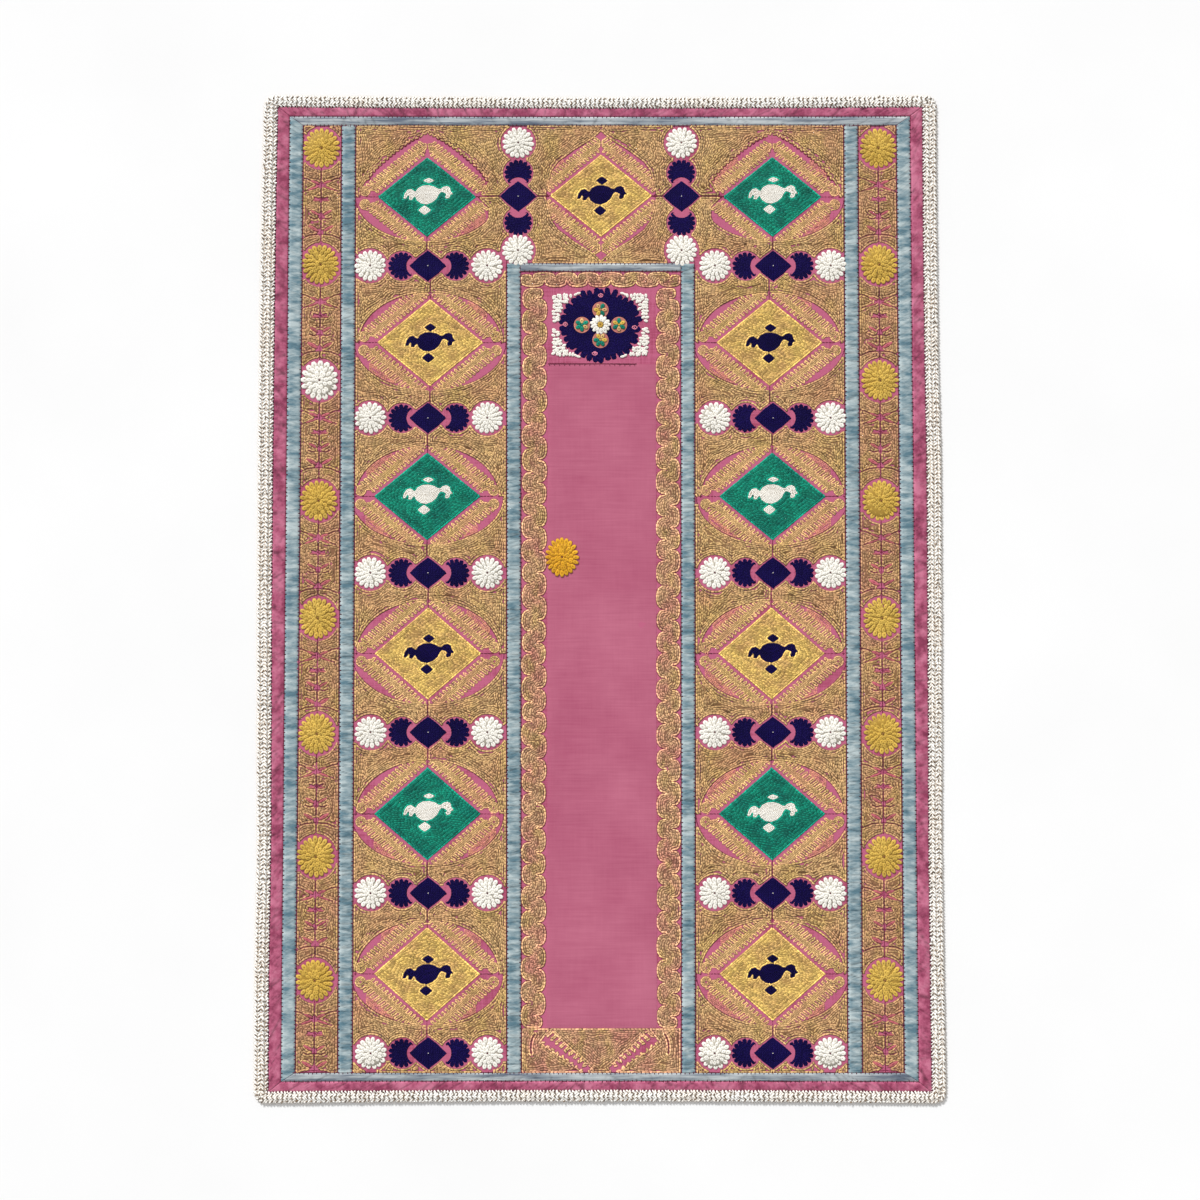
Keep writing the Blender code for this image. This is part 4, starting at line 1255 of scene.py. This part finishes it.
GROUND_PITCH, GROUND_LENGTH, GROUND_RISE, GROUND_GRID = 0.0032, 0.0058, 0.0014, 0.0014
HALO, ROSETTE_HALO, LINE_GAP, REACH, TAPE_GAP = 0.0034, 0.0024, 0.0002, 0.075, 0.0018
FAN_HALO, LOZENGE_HALO = HALO * 0.6, HALO * 0.7
DRIFT, DRIFT_SIZE, SMALL_DRIFT, SMALL_DRIFT_SIZE = 0.75, 0.045, 0.35, 0.012
PANELS = (("left", -0.40, 0.0), ("right", 0.0, 0.40))
STRIPS = ((-0.48, -0.41), (0.41, 0.48))
HEAD_TAPE_IN, GRID_OVER = FOOT_EDGE + 1.5525, 0.004  # the head tape's edge, and how far grids pass it
BACKING_LIFT, BACKING_THICK = 0.0003, 0.0003
PANEL_BACKING, STRIP_BACKING = (6, 0.0030), (3, 0.0014)  # every which line of the grid, and how deep in


def strip_lines(node):
    """The two long edges of a strip, each in order along it."""
    points = low_points(node)
    spread = points.max(axis=0) - points.min(axis=0)
    long, short = (1, 0) if spread[1] > spread[0] else (0, 1)
    middle = (points[:, short].max() + points[:, short].min()) / 2
    lines = [points[points[:, short] < middle], points[points[:, short] >= middle]]
    return [line[np.argsort(line[:, long])] for line in lines]


def x_on(line, y):
    """Where an upright line is, at each height y."""
    return np.interp(y, line[:, 1], line[:, 0])


def y_on(line, x):
    """How high a level line is, at each x."""
    return np.interp(x, line[:, 0], line[:, 1])


def between_tapes(x, y, left, right):
    """How deep points lie between two upright edges and the head and foot tapes."""
    ends = np.minimum(y_on(outer["top"][0], x) - y, y - y_on(outer["bottom"][1], x))
    return np.minimum(np.minimum(x - x_on(left, y), x_on(right, y) - x) - TAPE_GAP, ends)


def keep_bare(depth, x, y, span, shape):
    """Takes an area out of the ground's depth. span is points that reach round it, and shape(x, y) says
    how deep points lie inside it."""
    low, high = np.min(span, axis=0), np.max(span, axis=0)
    columns = np.flatnonzero((x[0] > low[0] - REACH) & (x[0] < high[0] + REACH))
    rows = np.flatnonzero((y[:, 0] > low[1] - REACH) & (y[:, 0] < high[1] + REACH))
    if len(columns) and len(rows):
        part = (slice(rows[0], rows[-1] + 1), slice(columns[0], columns[-1] + 1))
        depth[part] = np.minimum(depth[part], -shape(x[part], y[part]))


def bare_motifs(depth, x, y):
    """Takes every motif, with its halo, out of the ground."""
    rounds = [(cx, cy, FAN_DISC[1] + FAN_TOOTH + FAN_HALO, 1.0) for cx, cy, _ in fans]
    for cx, cy, radii, _ in pale_rosettes + vine_rosettes:
        rounds.append((cx, cy, radii[0] + ROSETTE_HALO, radii[0] / radii[1]))
    for cx, cy, reach, stretch in rounds:
        span = [(cx - reach, cy - reach), (cx + reach, cy + reach)]
        keep_bare(depth, x, y, span, lambda u, v: reach - np.hypot(u - cx, (v - cy) * stretch))
    outlines = [(diamond(cx, cy, *NAVY_LOZENGE, NAVY_SWELL), LOZENGE_HALO) for cx, cy in navy_lozenges]
    outlines += [(eye(lozenge), 0.0) for lozenge in bird_lozenges]
    outlines += [(outline, 0.0) for outline in bare_leaves]
    for outline, halo in outlines:
        keep_bare(depth, x, y, outline, lambda u, v: within(u, v, outline) + halo)
    for half, line in strokes:
        keep_bare(depth, x, y, line, lambda u, v: near_line(u, v, line, half + LINE_GAP))


def ground_rows(x, y, depth):
    """The ground's rows, which wander where they have room."""
    drift = DRIFT * wander(x, y, DRIFT_SIZE, 11) + SMALL_DRIFT * wander(x, y, SMALL_DRIFT_SIZE, 12)
    return echo_rows(x, y, depth, GROUND_PITCH, drift)


def backing(name, areas, thread):
    """Silk that lies flat under the rows inside an area, so that the gaps between them are silk as well, in
    a deep tone that paints the shade between the rows.
    """
    points, faces, start = [], [], 0
    for x, y, depth, every, least in areas:
        x, y, depth = x[::every, ::every], y[::every, ::every], depth[::every, ::every]
        deep = depth > least
        cells = np.argwhere(deep[:-1, :-1] & deep[:-1, 1:] & deep[1:, :-1] & deep[1:, 1:])
        corners = [(cells + step) @ (x.shape[1], 1) for step in ((0, 0), (0, 1), (1, 1), (1, 0))]
        used, numbers = np.unique(np.stack(corners, 1), return_inverse=True)
        spots = np.stack([x.ravel()[used], y.ravel()[used]], 1)
        points.append(np.column_stack([spots, lie(*spots.T) + BACKING_LIFT]))
        faces.append(numbers.reshape(-1, 4) + start)
        start += len(used)
    mesh = bpy.data.meshes.new(name)
    mesh.from_pydata(np.concatenate(points), [], np.concatenate(faces).tolist())
    # Painted shade: the backing shows in the gaps between rows in a deep tone of its thread.
    marked(mesh, 0.30)
    piece = made_of(name, mesh, thread)
    thickened(piece, BACKING_THICK)
    return fitted(piece)


outer = {hand: strip_lines(f"outer_tape_{hand}") for hand in ("left", "right", "top", "bottom")}
inner = {hand: strip_lines(f"inner_tape_{hand}") for hand in ("left", "right")}
niche = {hand: strip_lines(f"niche_tape_{hand}") for hand in ("left", "right", "head")}
ground_stitch = grain("ground stitch", GROUND_LENGTH * 1.15, GROUND_PITCH * 1.35, GROUND_RISE)
for hand, low, high in PANELS:
    x, y = grid_over((low, FOOT_TAPE_IN), (high, HEAD_TAPE_IN + GRID_OVER), GROUND_GRID)
    depth = between_tapes(x, y, inner["left"][1], inner["right"][0])
    beside = np.maximum(x_on(niche["left"][0], y) - x, x - x_on(niche["right"][1], y)) - TAPE_GAP
    depth = np.minimum(depth, np.maximum(beside, y - y_on(niche["head"][1], x)))
    bare_motifs(depth, x, y)
    rows = [ground_rows(x, y, depth)]
    embroidered(f"ochre_ground_{hand}", rows, ground_stitch, GROUND_LENGTH, ochre_silk)
    backing(f"ochre_backing_{hand}", [(x, y, depth, *PANEL_BACKING)], ochre_silk)
rows, areas = [], []
strip_edges = ((outer["left"][1], inner["left"][0]), (inner["right"][1], outer["right"][0]))
for (low, high), edges in zip(STRIPS, strip_edges):
    x, y = grid_over((low, FOOT_TAPE_IN), (high, HEAD_TAPE_IN + GRID_OVER), GROUND_GRID)
    depth = between_tapes(x, y, *edges)
    bare_motifs(depth, x, y)
    rows.append(ground_rows(x, y, depth))
    areas.append((x, y, depth, *STRIP_BACKING))
vine_silk = thread(
    "vine ground silk", dyed(210, 168, 118), dyed(112, 70, 52), dyed(200, 142, 114), dyed(198, 164, 100),
    outline=1.14, blot=0.05, low=0.12, full=0.84, spread=0.34,
)
embroidered("ochre_vine_ground", rows, ground_stitch, GROUND_LENGTH, vine_silk)
backing("ochre_vine_backing", areas, vine_silk)

# ---------------------------------------------------------------------------------------------------
# Niche edging: a winding line of scallops in ochre silk up both sides of the field and across its head,
# and a foot panel of the same silk with two toothed slots left bare.

SCALLOP_PITCH, SCALLOP_DRIFT, SCALLOP_NOTCH, SCALLOP_END, SCALLOP_STEPS = 0.0362, 0.0030, 0.08, 0.05, 13
FIELD_FOOT, CLOUD_FOOT = FOOT_EDGE + 0.1156, FOOT_EDGE + 1.2885
NICHE_HEAD_LOW, HEAD_GAP = FOOT_EDGE + 1.3154, 0.0008
SIDE_EDGINGS, HEAD_EDGING = ((21, -0.1252, -0.0835), (22, 0.0885, 0.1286)), (-0.1265, 0.1295)
FOOT_PANEL, FIELD_FOOT_LINE = (-0.126, 0.130), (-0.080, 0.090)
EDGING_GRID, EDGING_BACKING = 0.0010, (5, 0.0016)
SLOT_WIDE, SLOT_LOW, SLOT_HALF = (0.0880, 0.1000), (0.0190, 0.0480), 0.0045  # its two ends
SLOT_OVER, SLOT_UNDER, SLOT_PITCH, SLOT_FINGER = 0.0160, 0.0076, 0.0092, 0.0030
SLOT_SLIM = 0.55  # how much slimmer the slot is at its low end
FINGER_FIRST, FINGER_TILT, FINGER_OVER, FINGER_UNDER = 0.004, 0.002, 0.0026, 0.0024
FOOT_CURL, CURL_SPANS, CURL_HALF = (0.0960, 0.0850, 0.0120, 0.0240), {1: (60, -20), -1: (120, 200)}, 0.0010
EDGE_LENGTH = 0.0046


def winding(near, far, first, last, seed, turned=False):
    """The outline of a line between two straight edges, its two scalloped sides half a scallop apart."""
    draws = np.random.default_rng(seed)
    middle, half = (near + far) / 2, (far - near) / 2
    count = round((last - first) / SCALLOP_PITCH)
    even = np.linspace(first, last, count + 1)
    even[1:-1] += draws.uniform(-SCALLOP_DRIFT, SCALLOP_DRIFT, count - 1)
    odd = np.concatenate([[first], (even[1:] + even[:-1]) / 2, [last]])
    sides = []
    for way, at, blunt in ((-1, even, 0.55), (1, odd, 0.42)):
        edge = []
        for low, high in zip(at, at[1:]):
            reach = half * min(1.0, ((high - low) / SCALLOP_PITCH) ** 0.5) * draws.uniform(0.94, 1.0)
            for turn in np.linspace(SCALLOP_END, pi - SCALLOP_END, SCALLOP_STEPS):
                bulge = SCALLOP_NOTCH + (1 - SCALLOP_NOTCH) * sin(turn) ** blunt
                edge.append((middle + way * reach * bulge, (low + high) / 2 - (high - low) / 2 * cos(turn)))
        sides.append(edge)
    outline = sides[1] + sides[0][::-1]
    return [(v, u) for u, v in outline] if turned else outline


def fill_edging(x, y, depth, drift):
    """Rows for an area of the edging, and the silk under them."""
    rows.append(echo_rows(x, y, depth, GROUND_PITCH, drift))
    areas.append((x, y, depth, *EDGING_BACKING))


def fill_winding(low, high, outline, seed):
    """Fills a scalloped outline inside a box, and keeps its line for the maroon thread."""
    x, y = grid_over(low, high, EDGING_GRID)
    fill_edging(x, y, within(x, y, outline), 0.5 * wander(x, y, 0.02, seed))
    edge_lines.append(outline)


edging_silk = thread(
    "edging silk", dyed(220, 176, 132), dyed(98, 54, 42), dyed(208, 134, 122), dyed(206, 172, 112),
    outline=1.60, blot=0.04, low=0.12, full=0.8, spread=0.38,
)
rows, areas, edge_lines = [], [], []
for seed, near, far in SIDE_EDGINGS:
    outline = winding(near, far, FIELD_FOOT, CLOUD_FOOT, seed)
    fill_winding((near, FIELD_FOOT), (far, CLOUD_FOOT), outline, 32)
first, last = HEAD_EDGING
outline = winding(CLOUD_FOOT, NICHE_HEAD_LOW - HEAD_GAP, first, last, 23, turned=True)
fill_winding((first, CLOUD_FOOT), (last, NICHE_HEAD_LOW), outline, 33)
x, y = grid_over((FOOT_PANEL[0], FOOT_TAPE_IN), (FOOT_PANEL[1], FIELD_FOOT), EDGING_GRID)
depth = np.minimum(x - x_on(niche["left"][1], y), x_on(niche["right"][0], y) - x) - TAPE_GAP
depth = np.minimum(depth, np.minimum(y - FOOT_TAPE_IN, FIELD_FOOT - y))
for side in (-1, 1):
    ends = np.array([(side * across, FOOT_EDGE + height) for across, height in (SLOT_WIDE, SLOT_LOW)])
    long = np.linalg.norm(ends[1] - ends[0])
    run = (ends[1] - ends[0]) / long
    up = np.array([-run[1], run[0]]) * side * -1
    along = (x - ends[0][0]) * run[0] + (y - ends[0][1]) * run[1]
    off = (x - ends[0][0]) * up[0] + (y - ends[0][1]) * up[1]
    slim = 1 - SLOT_SLIM * np.clip(along / long, 0, 1)
    slot = np.minimum.reduce([along, long - along, SLOT_OVER * slim - off, off + SLOT_UNDER * slim])
    fingers = []
    for at in np.arange(FINGER_FIRST, long, SLOT_PITCH):
        less = 1 - SLOT_SLIM * at / long
        spot = ends[0] + run * at
        root, tip = spot + up * SLOT_OVER, spot + up * (SLOT_HALF * less + FINGER_OVER) - run * FINGER_TILT
        fingers.append(near_line(x, y, [root, tip], SLOT_FINGER))
        root, tip = spot - up * (SLOT_UNDER + FINGER_TILT), spot - up * (SLOT_HALF * less + FINGER_UNDER)
        fingers.append(near_line(x, y, [root, tip], SLOT_FINGER))
    depth = np.minimum(depth, -np.minimum(slot, -np.maximum.reduce(fingers)))
    across, height, wide, tall = FOOT_CURL
    curl = oval(side * across, FOOT_EDGE + height, wide, tall, 9, *CURL_SPANS[side])
    edge_lines.append(curl)
    depth = np.minimum(depth, -near_line(x, y, curl, CURL_HALF))
fill_edging(x, y, depth, 0.8 * wander(x, y, 0.03, 31))
embroidered("ochre_niche_edging", rows, ground_stitch, GROUND_LENGTH, edging_silk)
backing("ochre_niche_backing", areas, edging_silk)
edge_lines.append([(across, FIELD_FOOT) for across in FIELD_FOOT_LINE])
embroidered("edging_lines", [line_row(line) for line in edge_lines], stem_stitch, EDGE_LENGTH, maroon_thread)

# ---------------------------------------------------------------------------------------------------
# Centre field: a plain rose cotton panel laid in the niche, slubbed across, its head edge turned under
# and sewn down with small stitches.

FIELD_THICK, FIELD_STEP = 0.0010, 0.0100
FIELD_REST, FIELD_EASE, FIELD_RISE = 0.00215, 0.020, 0.00018  # its face at the rim, and its rise inwards
FIELD_SWELL, FIELD_SLUB = 0.00022, 0.00016
HEM_WIDE, HEM_FOLD, HEM_RISE = 0.006, 0.0015, 0.0003
SEAM_HEIGHT, SEAM_IN, SEAM_END, SEAM_DROP = FOOT_EDGE + 1.1659, 0.003, 0.056, 0.0006
SEAM_LIFT, SEAM_LENGTH = 0.0027, 0.0040
field_low, field_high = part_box("centre_field_panel")


def field_face(x, y):
    """The height of the panel's face: it lies easy, and its hem stands up a little."""
    rim = np.minimum(np.minimum(x - field_low.x, field_high.x - x), y - field_low.y)
    eased = np.clip(rim / FIELD_EASE, 0, 1)
    hem = np.clip((y - field_high.y + HEM_WIDE) / HEM_FOLD, 0, 1)
    swell = FIELD_SWELL * wander(x, y, 0.09, 41) + FIELD_SLUB * wander(3 * x, 26 * y, 0.30, 42)
    return FIELD_REST + FIELD_RISE * eased + HEM_RISE * hem + swell * eased


def on_the_hem(x, y):
    """Where a stitch's underside lies along the head of the field."""
    return SEAM_LIFT + 0 * x


field_cotton = weave(
    "plain rose cotton", dyed(200, 112, 138), dyed(176, 84, 114), slub=(0.9, 0.3), patch=0.16, ease=1.6
)
field_outline = round_the_middle(low_points("centre_field_panel"))
field = flat_piece("field_panel", [field_outline], FIELD_STEP, field_face, FIELD_THICK, field_cotton)
fitted(field, "plain_rose_cotton", "centre_field_panel")
head_seam = [(field_low.x + SEAM_IN, SEAM_HEIGHT), (SEAM_END, SEAM_HEIGHT - SEAM_DROP)]
embroidered("head_seam", [line_row(head_seam)], stem_stitch, SEAM_LENGTH, maroon_thread, on_the_hem)

# ---------------------------------------------------------------------------------------------------
# Tapes: grey-blue ribbon of worn silk, sewn down along both edges so that it draws up in small folds
# across the uprights, and lies smoother along the head and foot.

TAPE_FACE, TAPE_UNDER, THINNEST = 0.0026, 0.00175, 0.0002
GATHER_DEEP, GATHER_STEP, GATHER_NARROW, GATHER_SLANT = 0.00062, (0.0026, 0.0080), 0.0009, 0.004
OUTER_STRENGTH, OTHER_STRENGTH = 0.55, 1.0
LEVEL_STEP, LEVEL_NARROW, LEVEL_SLANT, LEVEL_STRENGTH = (0.010, 0.034), 0.0018, 0.022, 0.7
UPRIGHT_MESH, LEVEL_MESH = (0.0017, 4), (0.0028, 5)  # the step along it, and how many parts across
PALE_EDGE = -0.25  # the selvedges have worn paler than the middle


def ribbon_silk(name, bright, worn, dark, stretch, streak):
    """Worn ribbon: streaks across or along it, shade painted into its folds, and a ribbed weave."""
    made, add = finish(name, 0.6, 0.25)
    streaks = blotches(add, streak, 3.0, 0.65, stretch)
    patch = blotches(add, 0.07, 3.0, 0.6)
    dye = add("ShaderNodeMath", [(0, patch), (1, 0.4), (2, streaks)], operation="MULTIPLY_ADD")
    tone = shades(add, dye.outputs[0], (0.55, dark), (0.70, worn), (0.86, bright))
    # Painted shade: the colour darkens with a fold's depth. The worn selvedges, marked below 0, come out
    # paler.
    wanted = [("Value", mark(add, "fold")), ("To Min", 1.05), ("To Max", 0.40)]
    shade = add("ShaderNodeMapRange", wanted, clamp=False)
    toned = add("ShaderNodeVectorMath", [(0, tone), ("Scale", shade.outputs[0])], operation="SCALE")
    to_shader(made, "Base Color", toned.outputs[0])
    bumped(made, add, blotches(add, 0.004, 2.0, 0.6, stretch), 0.4, 0.0005)
    return made


def ribbon(name, node, step, across, face, folds, cloth):
    """A closed strip between a node's long edges. folds(along, share) gives its folds' depth, 0 to 1."""
    first, second = strip_lines(node)
    long = np.linalg.norm(first[-1] - first[0])
    count = max(3, round(long / step))
    way = int(np.argmax(np.abs(first[-1] - first[0])))
    edges = []
    for line in (first, second):
        edges.append(spots_along(line, line[:, way], np.linspace(line[0, way], line[-1, way], count)))
    along = np.linspace(0, long, count)[:, None]
    share = np.linspace(0, 1, across + 1)[None, :]
    deep = folds(along, share)
    flat = edges[0][:, None, :] * (1 - share[..., None]) + edges[1][:, None, :] * share[..., None]
    crown = 1 - np.abs(2 * share - 1) ** 3
    height = TAPE_UNDER + (face - TAPE_UNDER) * (0.55 + 0.45 * crown)
    height = height - GATHER_DEEP * deep * (0.5 + 0.5 * crown)
    top = np.concatenate([flat, np.maximum(height, TAPE_UNDER + THINNEST)[..., None]], axis=2)
    under = [np.column_stack([edge, np.full(count, TAPE_UNDER)])[:, None] for edge in (edges[1], edges[0])]
    points = np.concatenate([top, *under], axis=1)
    ring = across + 3
    faces = []
    for station in range(count - 1):
        for i in range(ring):
            j = (i + 1) % ring
            start, after = station * ring, (station + 1) * ring
            faces.append((start + i, start + j, after + j, after + i))
    faces += [tuple(range(ring))[::-1], tuple((count - 1) * ring + i for i in range(ring))]
    mesh = bpy.data.meshes.new(name)
    mesh.from_pydata(points.reshape(-1, 3), [], faces)
    bm = bmesh.new()
    bm.from_mesh(mesh)
    bmesh.ops.recalc_face_normals(bm, faces=bm.faces)
    bm.to_mesh(mesh)
    bm.free()
    # The fold mark: the folds' depth for their painted shade, and the worn pale selvedges.
    fold_shade_and_pale_edge = np.concatenate([np.broadcast_to(deep, (count, across + 1)), np.zeros((count, 2))], axis=1)
    fold_shade_and_pale_edge[:, [0, across]] = PALE_EDGE
    mesh.attributes.new("fold", "FLOAT", "POINT").data.foreach_set("value", fold_shade_and_pale_edge.ravel())
    return made_of(name, mesh, cloth)


def sewn_strip(piece, slot, node):
    fitted(piece, slot, node)


def gathers(seed, step, narrow, slant, strength):
    """Small folds across a ribbon, at uneven distances, each with its own depth, lean and reach."""
    draws = np.random.default_rng(seed)

    def folds(along, share):
        """How deep the folds are at places along the ribbon and across it."""
        at, total = 0.0, np.zeros(np.broadcast(along, share).shape)
        while at < along.max():
            at += draws.uniform(*step)
            width, lean = narrow * draws.uniform(0.7, 1.6), draws.normal(0, slant)
            centre, reach = draws.uniform(0, 1), draws.uniform(0.35, 1.3)
            near = np.exp(-(((along - at - lean * (share - 0.5)) / width) ** 2))
            total += strength * draws.uniform(0.25, 1.0) * near * np.exp(-(((share - centre) / reach) ** 2))
        return np.clip(total, 0, 1)

    return folds


upright_silk = ribbon_silk(
    "upright ribbon silk", dyed(186, 200, 202), dyed(143, 164, 171), dyed(92, 124, 138), (0.3, 1, 1), 0.009
)
level_silk = ribbon_silk(
    "level ribbon silk", dyed(192, 198, 200), dyed(152, 160, 166), dyed(96, 106, 122), (0.06, 1, 1), 0.005
)
uprights = [f"{place}_tape_{hand}" for place in ("outer", "inner", "niche") for hand in ("left", "right")]
for number, name in enumerate(uprights):
    strength = OUTER_STRENGTH if name.startswith("outer") else OTHER_STRENGTH
    folds = gathers(50 + number, GATHER_STEP, GATHER_NARROW, GATHER_SLANT, strength)
    tape = ribbon(name.replace("tape", "ribbon"), name, *UPRIGHT_MESH, TAPE_FACE, folds, upright_silk)
    sewn_strip(tape, "grey_blue_ribbon", name)
for number, name in enumerate(("outer_tape_top", "outer_tape_bottom", "niche_tape_head")):
    folds = gathers(70 + number, LEVEL_STEP, LEVEL_NARROW, LEVEL_SLANT, LEVEL_STRENGTH)
    tape = ribbon(name.replace("tape", "ribbon"), name, *LEVEL_MESH, TAPE_FACE, folds, level_silk)
    sewn_strip(tape, "grey_blue_ribbon", name)

# ---------------------------------------------------------------------------------------------------
# Border: four strips of deep rose silk, mitred at the corners, laid between the tapes and the braid.
# The silk is slack, so it lies in soft wrinkles that run across it at a slant.

BORDER_FACE, BORDER_MESH = 0.00275, (0.0026, 5)
BORDER_STEP, BORDER_NARROW, BORDER_SLANT, BORDER_STRENGTH = (0.004, 0.016), 0.0018, 0.030, 0.95

border_silk = ribbon_silk(
    "border silk", dyed(204, 118, 146), dyed(182, 92, 122), dyed(144, 60, 90), (0.6, 0.6, 1), 0.010
)
for number, hand in enumerate(("left", "right", "top", "bottom")):
    node = f"border_strip_{hand}"
    folds = gathers(90 + number, BORDER_STEP, BORDER_NARROW, BORDER_SLANT, BORDER_STRENGTH)
    strip = ribbon(f"border_{hand}", node, *BORDER_MESH, BORDER_FACE, folds, border_silk)
    sewn_strip(strip, "deep_rose_silk", node)

# ---------------------------------------------------------------------------------------------------
# Edge braid: a flat plait of ivory cotton sewn over the cloth's edge, in four columns of slanting
# strands with brown flecks between them, over a closed core.

BRAID_COLUMNS = ((0.12, 0.75), (0.38, -0.75), (0.64, 0.75), (0.90, -0.75))  # share of the width, and slant
BRAID_SECTION = (  # share of the width from its outer edge, and height
    (0.0, 0.0), (0.0, 0.0014), (0.16, 0.0030), (0.45, 0.0035), (0.78, 0.0032), (1.0, 0.0022), (1.0, 0.0017),
    (0.66, 0.0017), (0.66, 0.0),
)
RIM_HEIGHTS = (0.0022, 0.0028)  # of the solid's outer and inner edges
PLAIT_LENGTH, PLAIT_STEP, PLAIT_WIDE, PLAIT_RISE = 0.0080, 0.0050, 0.0040, 0.0008
PLAIT_LIFT, PLAIT_CROWN, PLAIT_UNEVEN = 0.0026, 0.0008, 0.16
FLECK_STEP, FLECK_LENGTH, FLECK_WIDE, FLECK_RISE = 0.0076, 0.0046, 0.0018, 0.0009
FLECK_LIFT, FLECK_CROWN, FLECK_STRAY, FLECK_TURN = 0.0036, 0.0007, 0.0007, 0.15
FLECK_LONGS, FLECK_WIDES = (0.6, 1.2), (0.7, 1.15)


def braid_ring(height):
    """The points of the braid's solid at one height, in order round the cloth."""
    points = np.array([vertex.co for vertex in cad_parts["edge_braid"].data.vertices])
    level = np.unique(np.round(points[np.abs(points[:, 2] - height) < 1e-4], 6), axis=0)
    return round_the_middle(level)


def round_the_braid(share):
    """A line round the cloth along the braid, at a share of its width from its outer edge."""
    return [a[:2] * (1 - share) + b[:2] * share for a, b in zip(rim_out, rim_in)]


ivory = thread(
    "ivory cotton", dyed(255, 253, 248, 1.0), dyed(214, 192, 168), dyed(255, 246, 234, 1.0),
    outline=1.0, full=0.25, spread=0.04,
)
# Dark brown for the flecks laid between the strands.
fleck_brown = thread("brown braid flecks", dyed(140, 116, 90), dyed(84, 66, 50), outline=1.0, spread=0.45)
rim_out, rim_in = [braid_ring(height) for height in RIM_HEIGHTS]
bm = bmesh.new()
rings = []
for share, height in BRAID_SECTION:
    rings.append([bm.verts.new((*spot, height)) for spot in round_the_braid(share)])
join_rings(bm, rings + rings[:1])
bmesh.ops.recalc_face_normals(bm, faces=bm.faces)
mesh = mesh_from("braid_core", bm)
# The core takes its thread's deepest tone: painted shade where it shows between the strands.
marked(mesh, 0.0, tint=0.4)
mesh.materials.append(ivory)
fitted(stood("braid_core", mesh), "ivory_braid", "edge_braid")
plait = grain("plait strand", PLAIT_LENGTH, PLAIT_WIDE, PLAIT_RISE)
for number, (share, slant) in enumerate(BRAID_COLUMNS):
    height = PLAIT_LIFT + PLAIT_CROWN * sin(pi * share)
    path = [(*spot, height) for spot in round_the_braid(share)]
    rows, name = [line_row(path + path[:1])], f"braid_strands_{number + 1}"
    strands = embroidered(name, rows, plait, PLAIT_STEP, ivory, None, slant, PLAIT_UNEVEN, 60 + number)
flecks = []
for number, (share, slant) in enumerate(BRAID_COLUMNS):
    path = round_the_braid(share)
    spots = line_row(path + path[:1], FLECK_STEP)[0][number % 2 :]
    for (x, y), (ahead_x, ahead_y) in zip(spots, spots[1:]):
        along = np.arctan2(ahead_y - y, ahead_x - x) + slant + draws.normal(0, FLECK_TURN)
        x, y = np.array([x, y]) + draws.normal(0, FLECK_STRAY, 2)
        long, wide = FLECK_LENGTH * draws.uniform(*FLECK_LONGS), FLECK_WIDE * draws.uniform(*FLECK_WIDES)
        flecks.append((x, y, FLECK_LIFT + FLECK_CROWN * sin(pi * share), along, long, wide, FLECK_RISE))
fleck = grain("fleck", 1.0, 1.0, 1.0)
braid_flecks = looped("braid_flecks", flecks, fleck_brown, fleck, 9)

# ---------------------------------------------------------------------------------------------------
# Seams: small maroon stitches tack down both edges of every tape, the inner edge of the braid and the
# folded head of the field.

TACK_STEP, TACK, TACK_LIFT, TACK_STRAY = 0.0068, (0.0038, 0.0038, 0.0038), 0.0022, 0.0007
BRAID_TACK_STEP, BRAID_TACK = 0.0066, (0.0038, 0.0074, 0.0034)
HEM_TACK_STEP, HEM_TACK, HEM_TACK_DROP, HEM_TACK_LIFT = 0.0075, (0.0024, 0.0024, 0.0024), 0.0022, 0.0026
SEAM_OFF, SEAM_STEP, SEAM_PITCH, SEAM_UNEVEN = 0.0008, 0.004, 0.0100, 0.03
SEAM_STITCH = (0.0105, 0.0013, 0.0006)

seams, tacks = [], []
for lines in (outer, inner, niche):
    for hand, pair in lines.items():
        level = hand in ("top", "bottom", "head")
        for line, out in zip(pair, (-1, 1)):
            off = (0.0, SEAM_OFF * out) if level else (SEAM_OFF * out, 0.0)
            seams.append(line_row(line + off, SEAM_STEP))
            for x, y in line_row(line, TACK_STEP)[0][1:-1]:
                x, y = np.array([x, y]) + draws.uniform(-TACK_STRAY, TACK_STRAY, 2)
                tacks.append((x, y, TACK_LIFT, pi / 2 if level else 0.0, *TACK))
for spot in line_row(rim_in, BRAID_TACK_STEP)[0]:
    tacks.append((*spot, draws.uniform(0, pi), *BRAID_TACK))
for x, y in line_row(head_seam, HEM_TACK_STEP)[0]:
    tacks.append((x, y - HEM_TACK_DROP, HEM_TACK_LIFT, pi / 2, *HEM_TACK))
dark_thread = thread("dark thread", dyed(92, 18, 52), dyed(54, 8, 34), outline=1.0)
dash = grain("tack", 1.0, 0.42, 0.22)
looped("tape_tacks", tacks, dark_thread, dash, 8)
seam_stitch = grain("seam stitch", *SEAM_STITCH)
embroidered(
    "tape_seams", seams, seam_stitch, SEAM_PITCH, maroon_thread, over_the_silk, unevenness=SEAM_UNEVEN
)

for helper in repeated:
    bpy.data.objects.remove(helper)
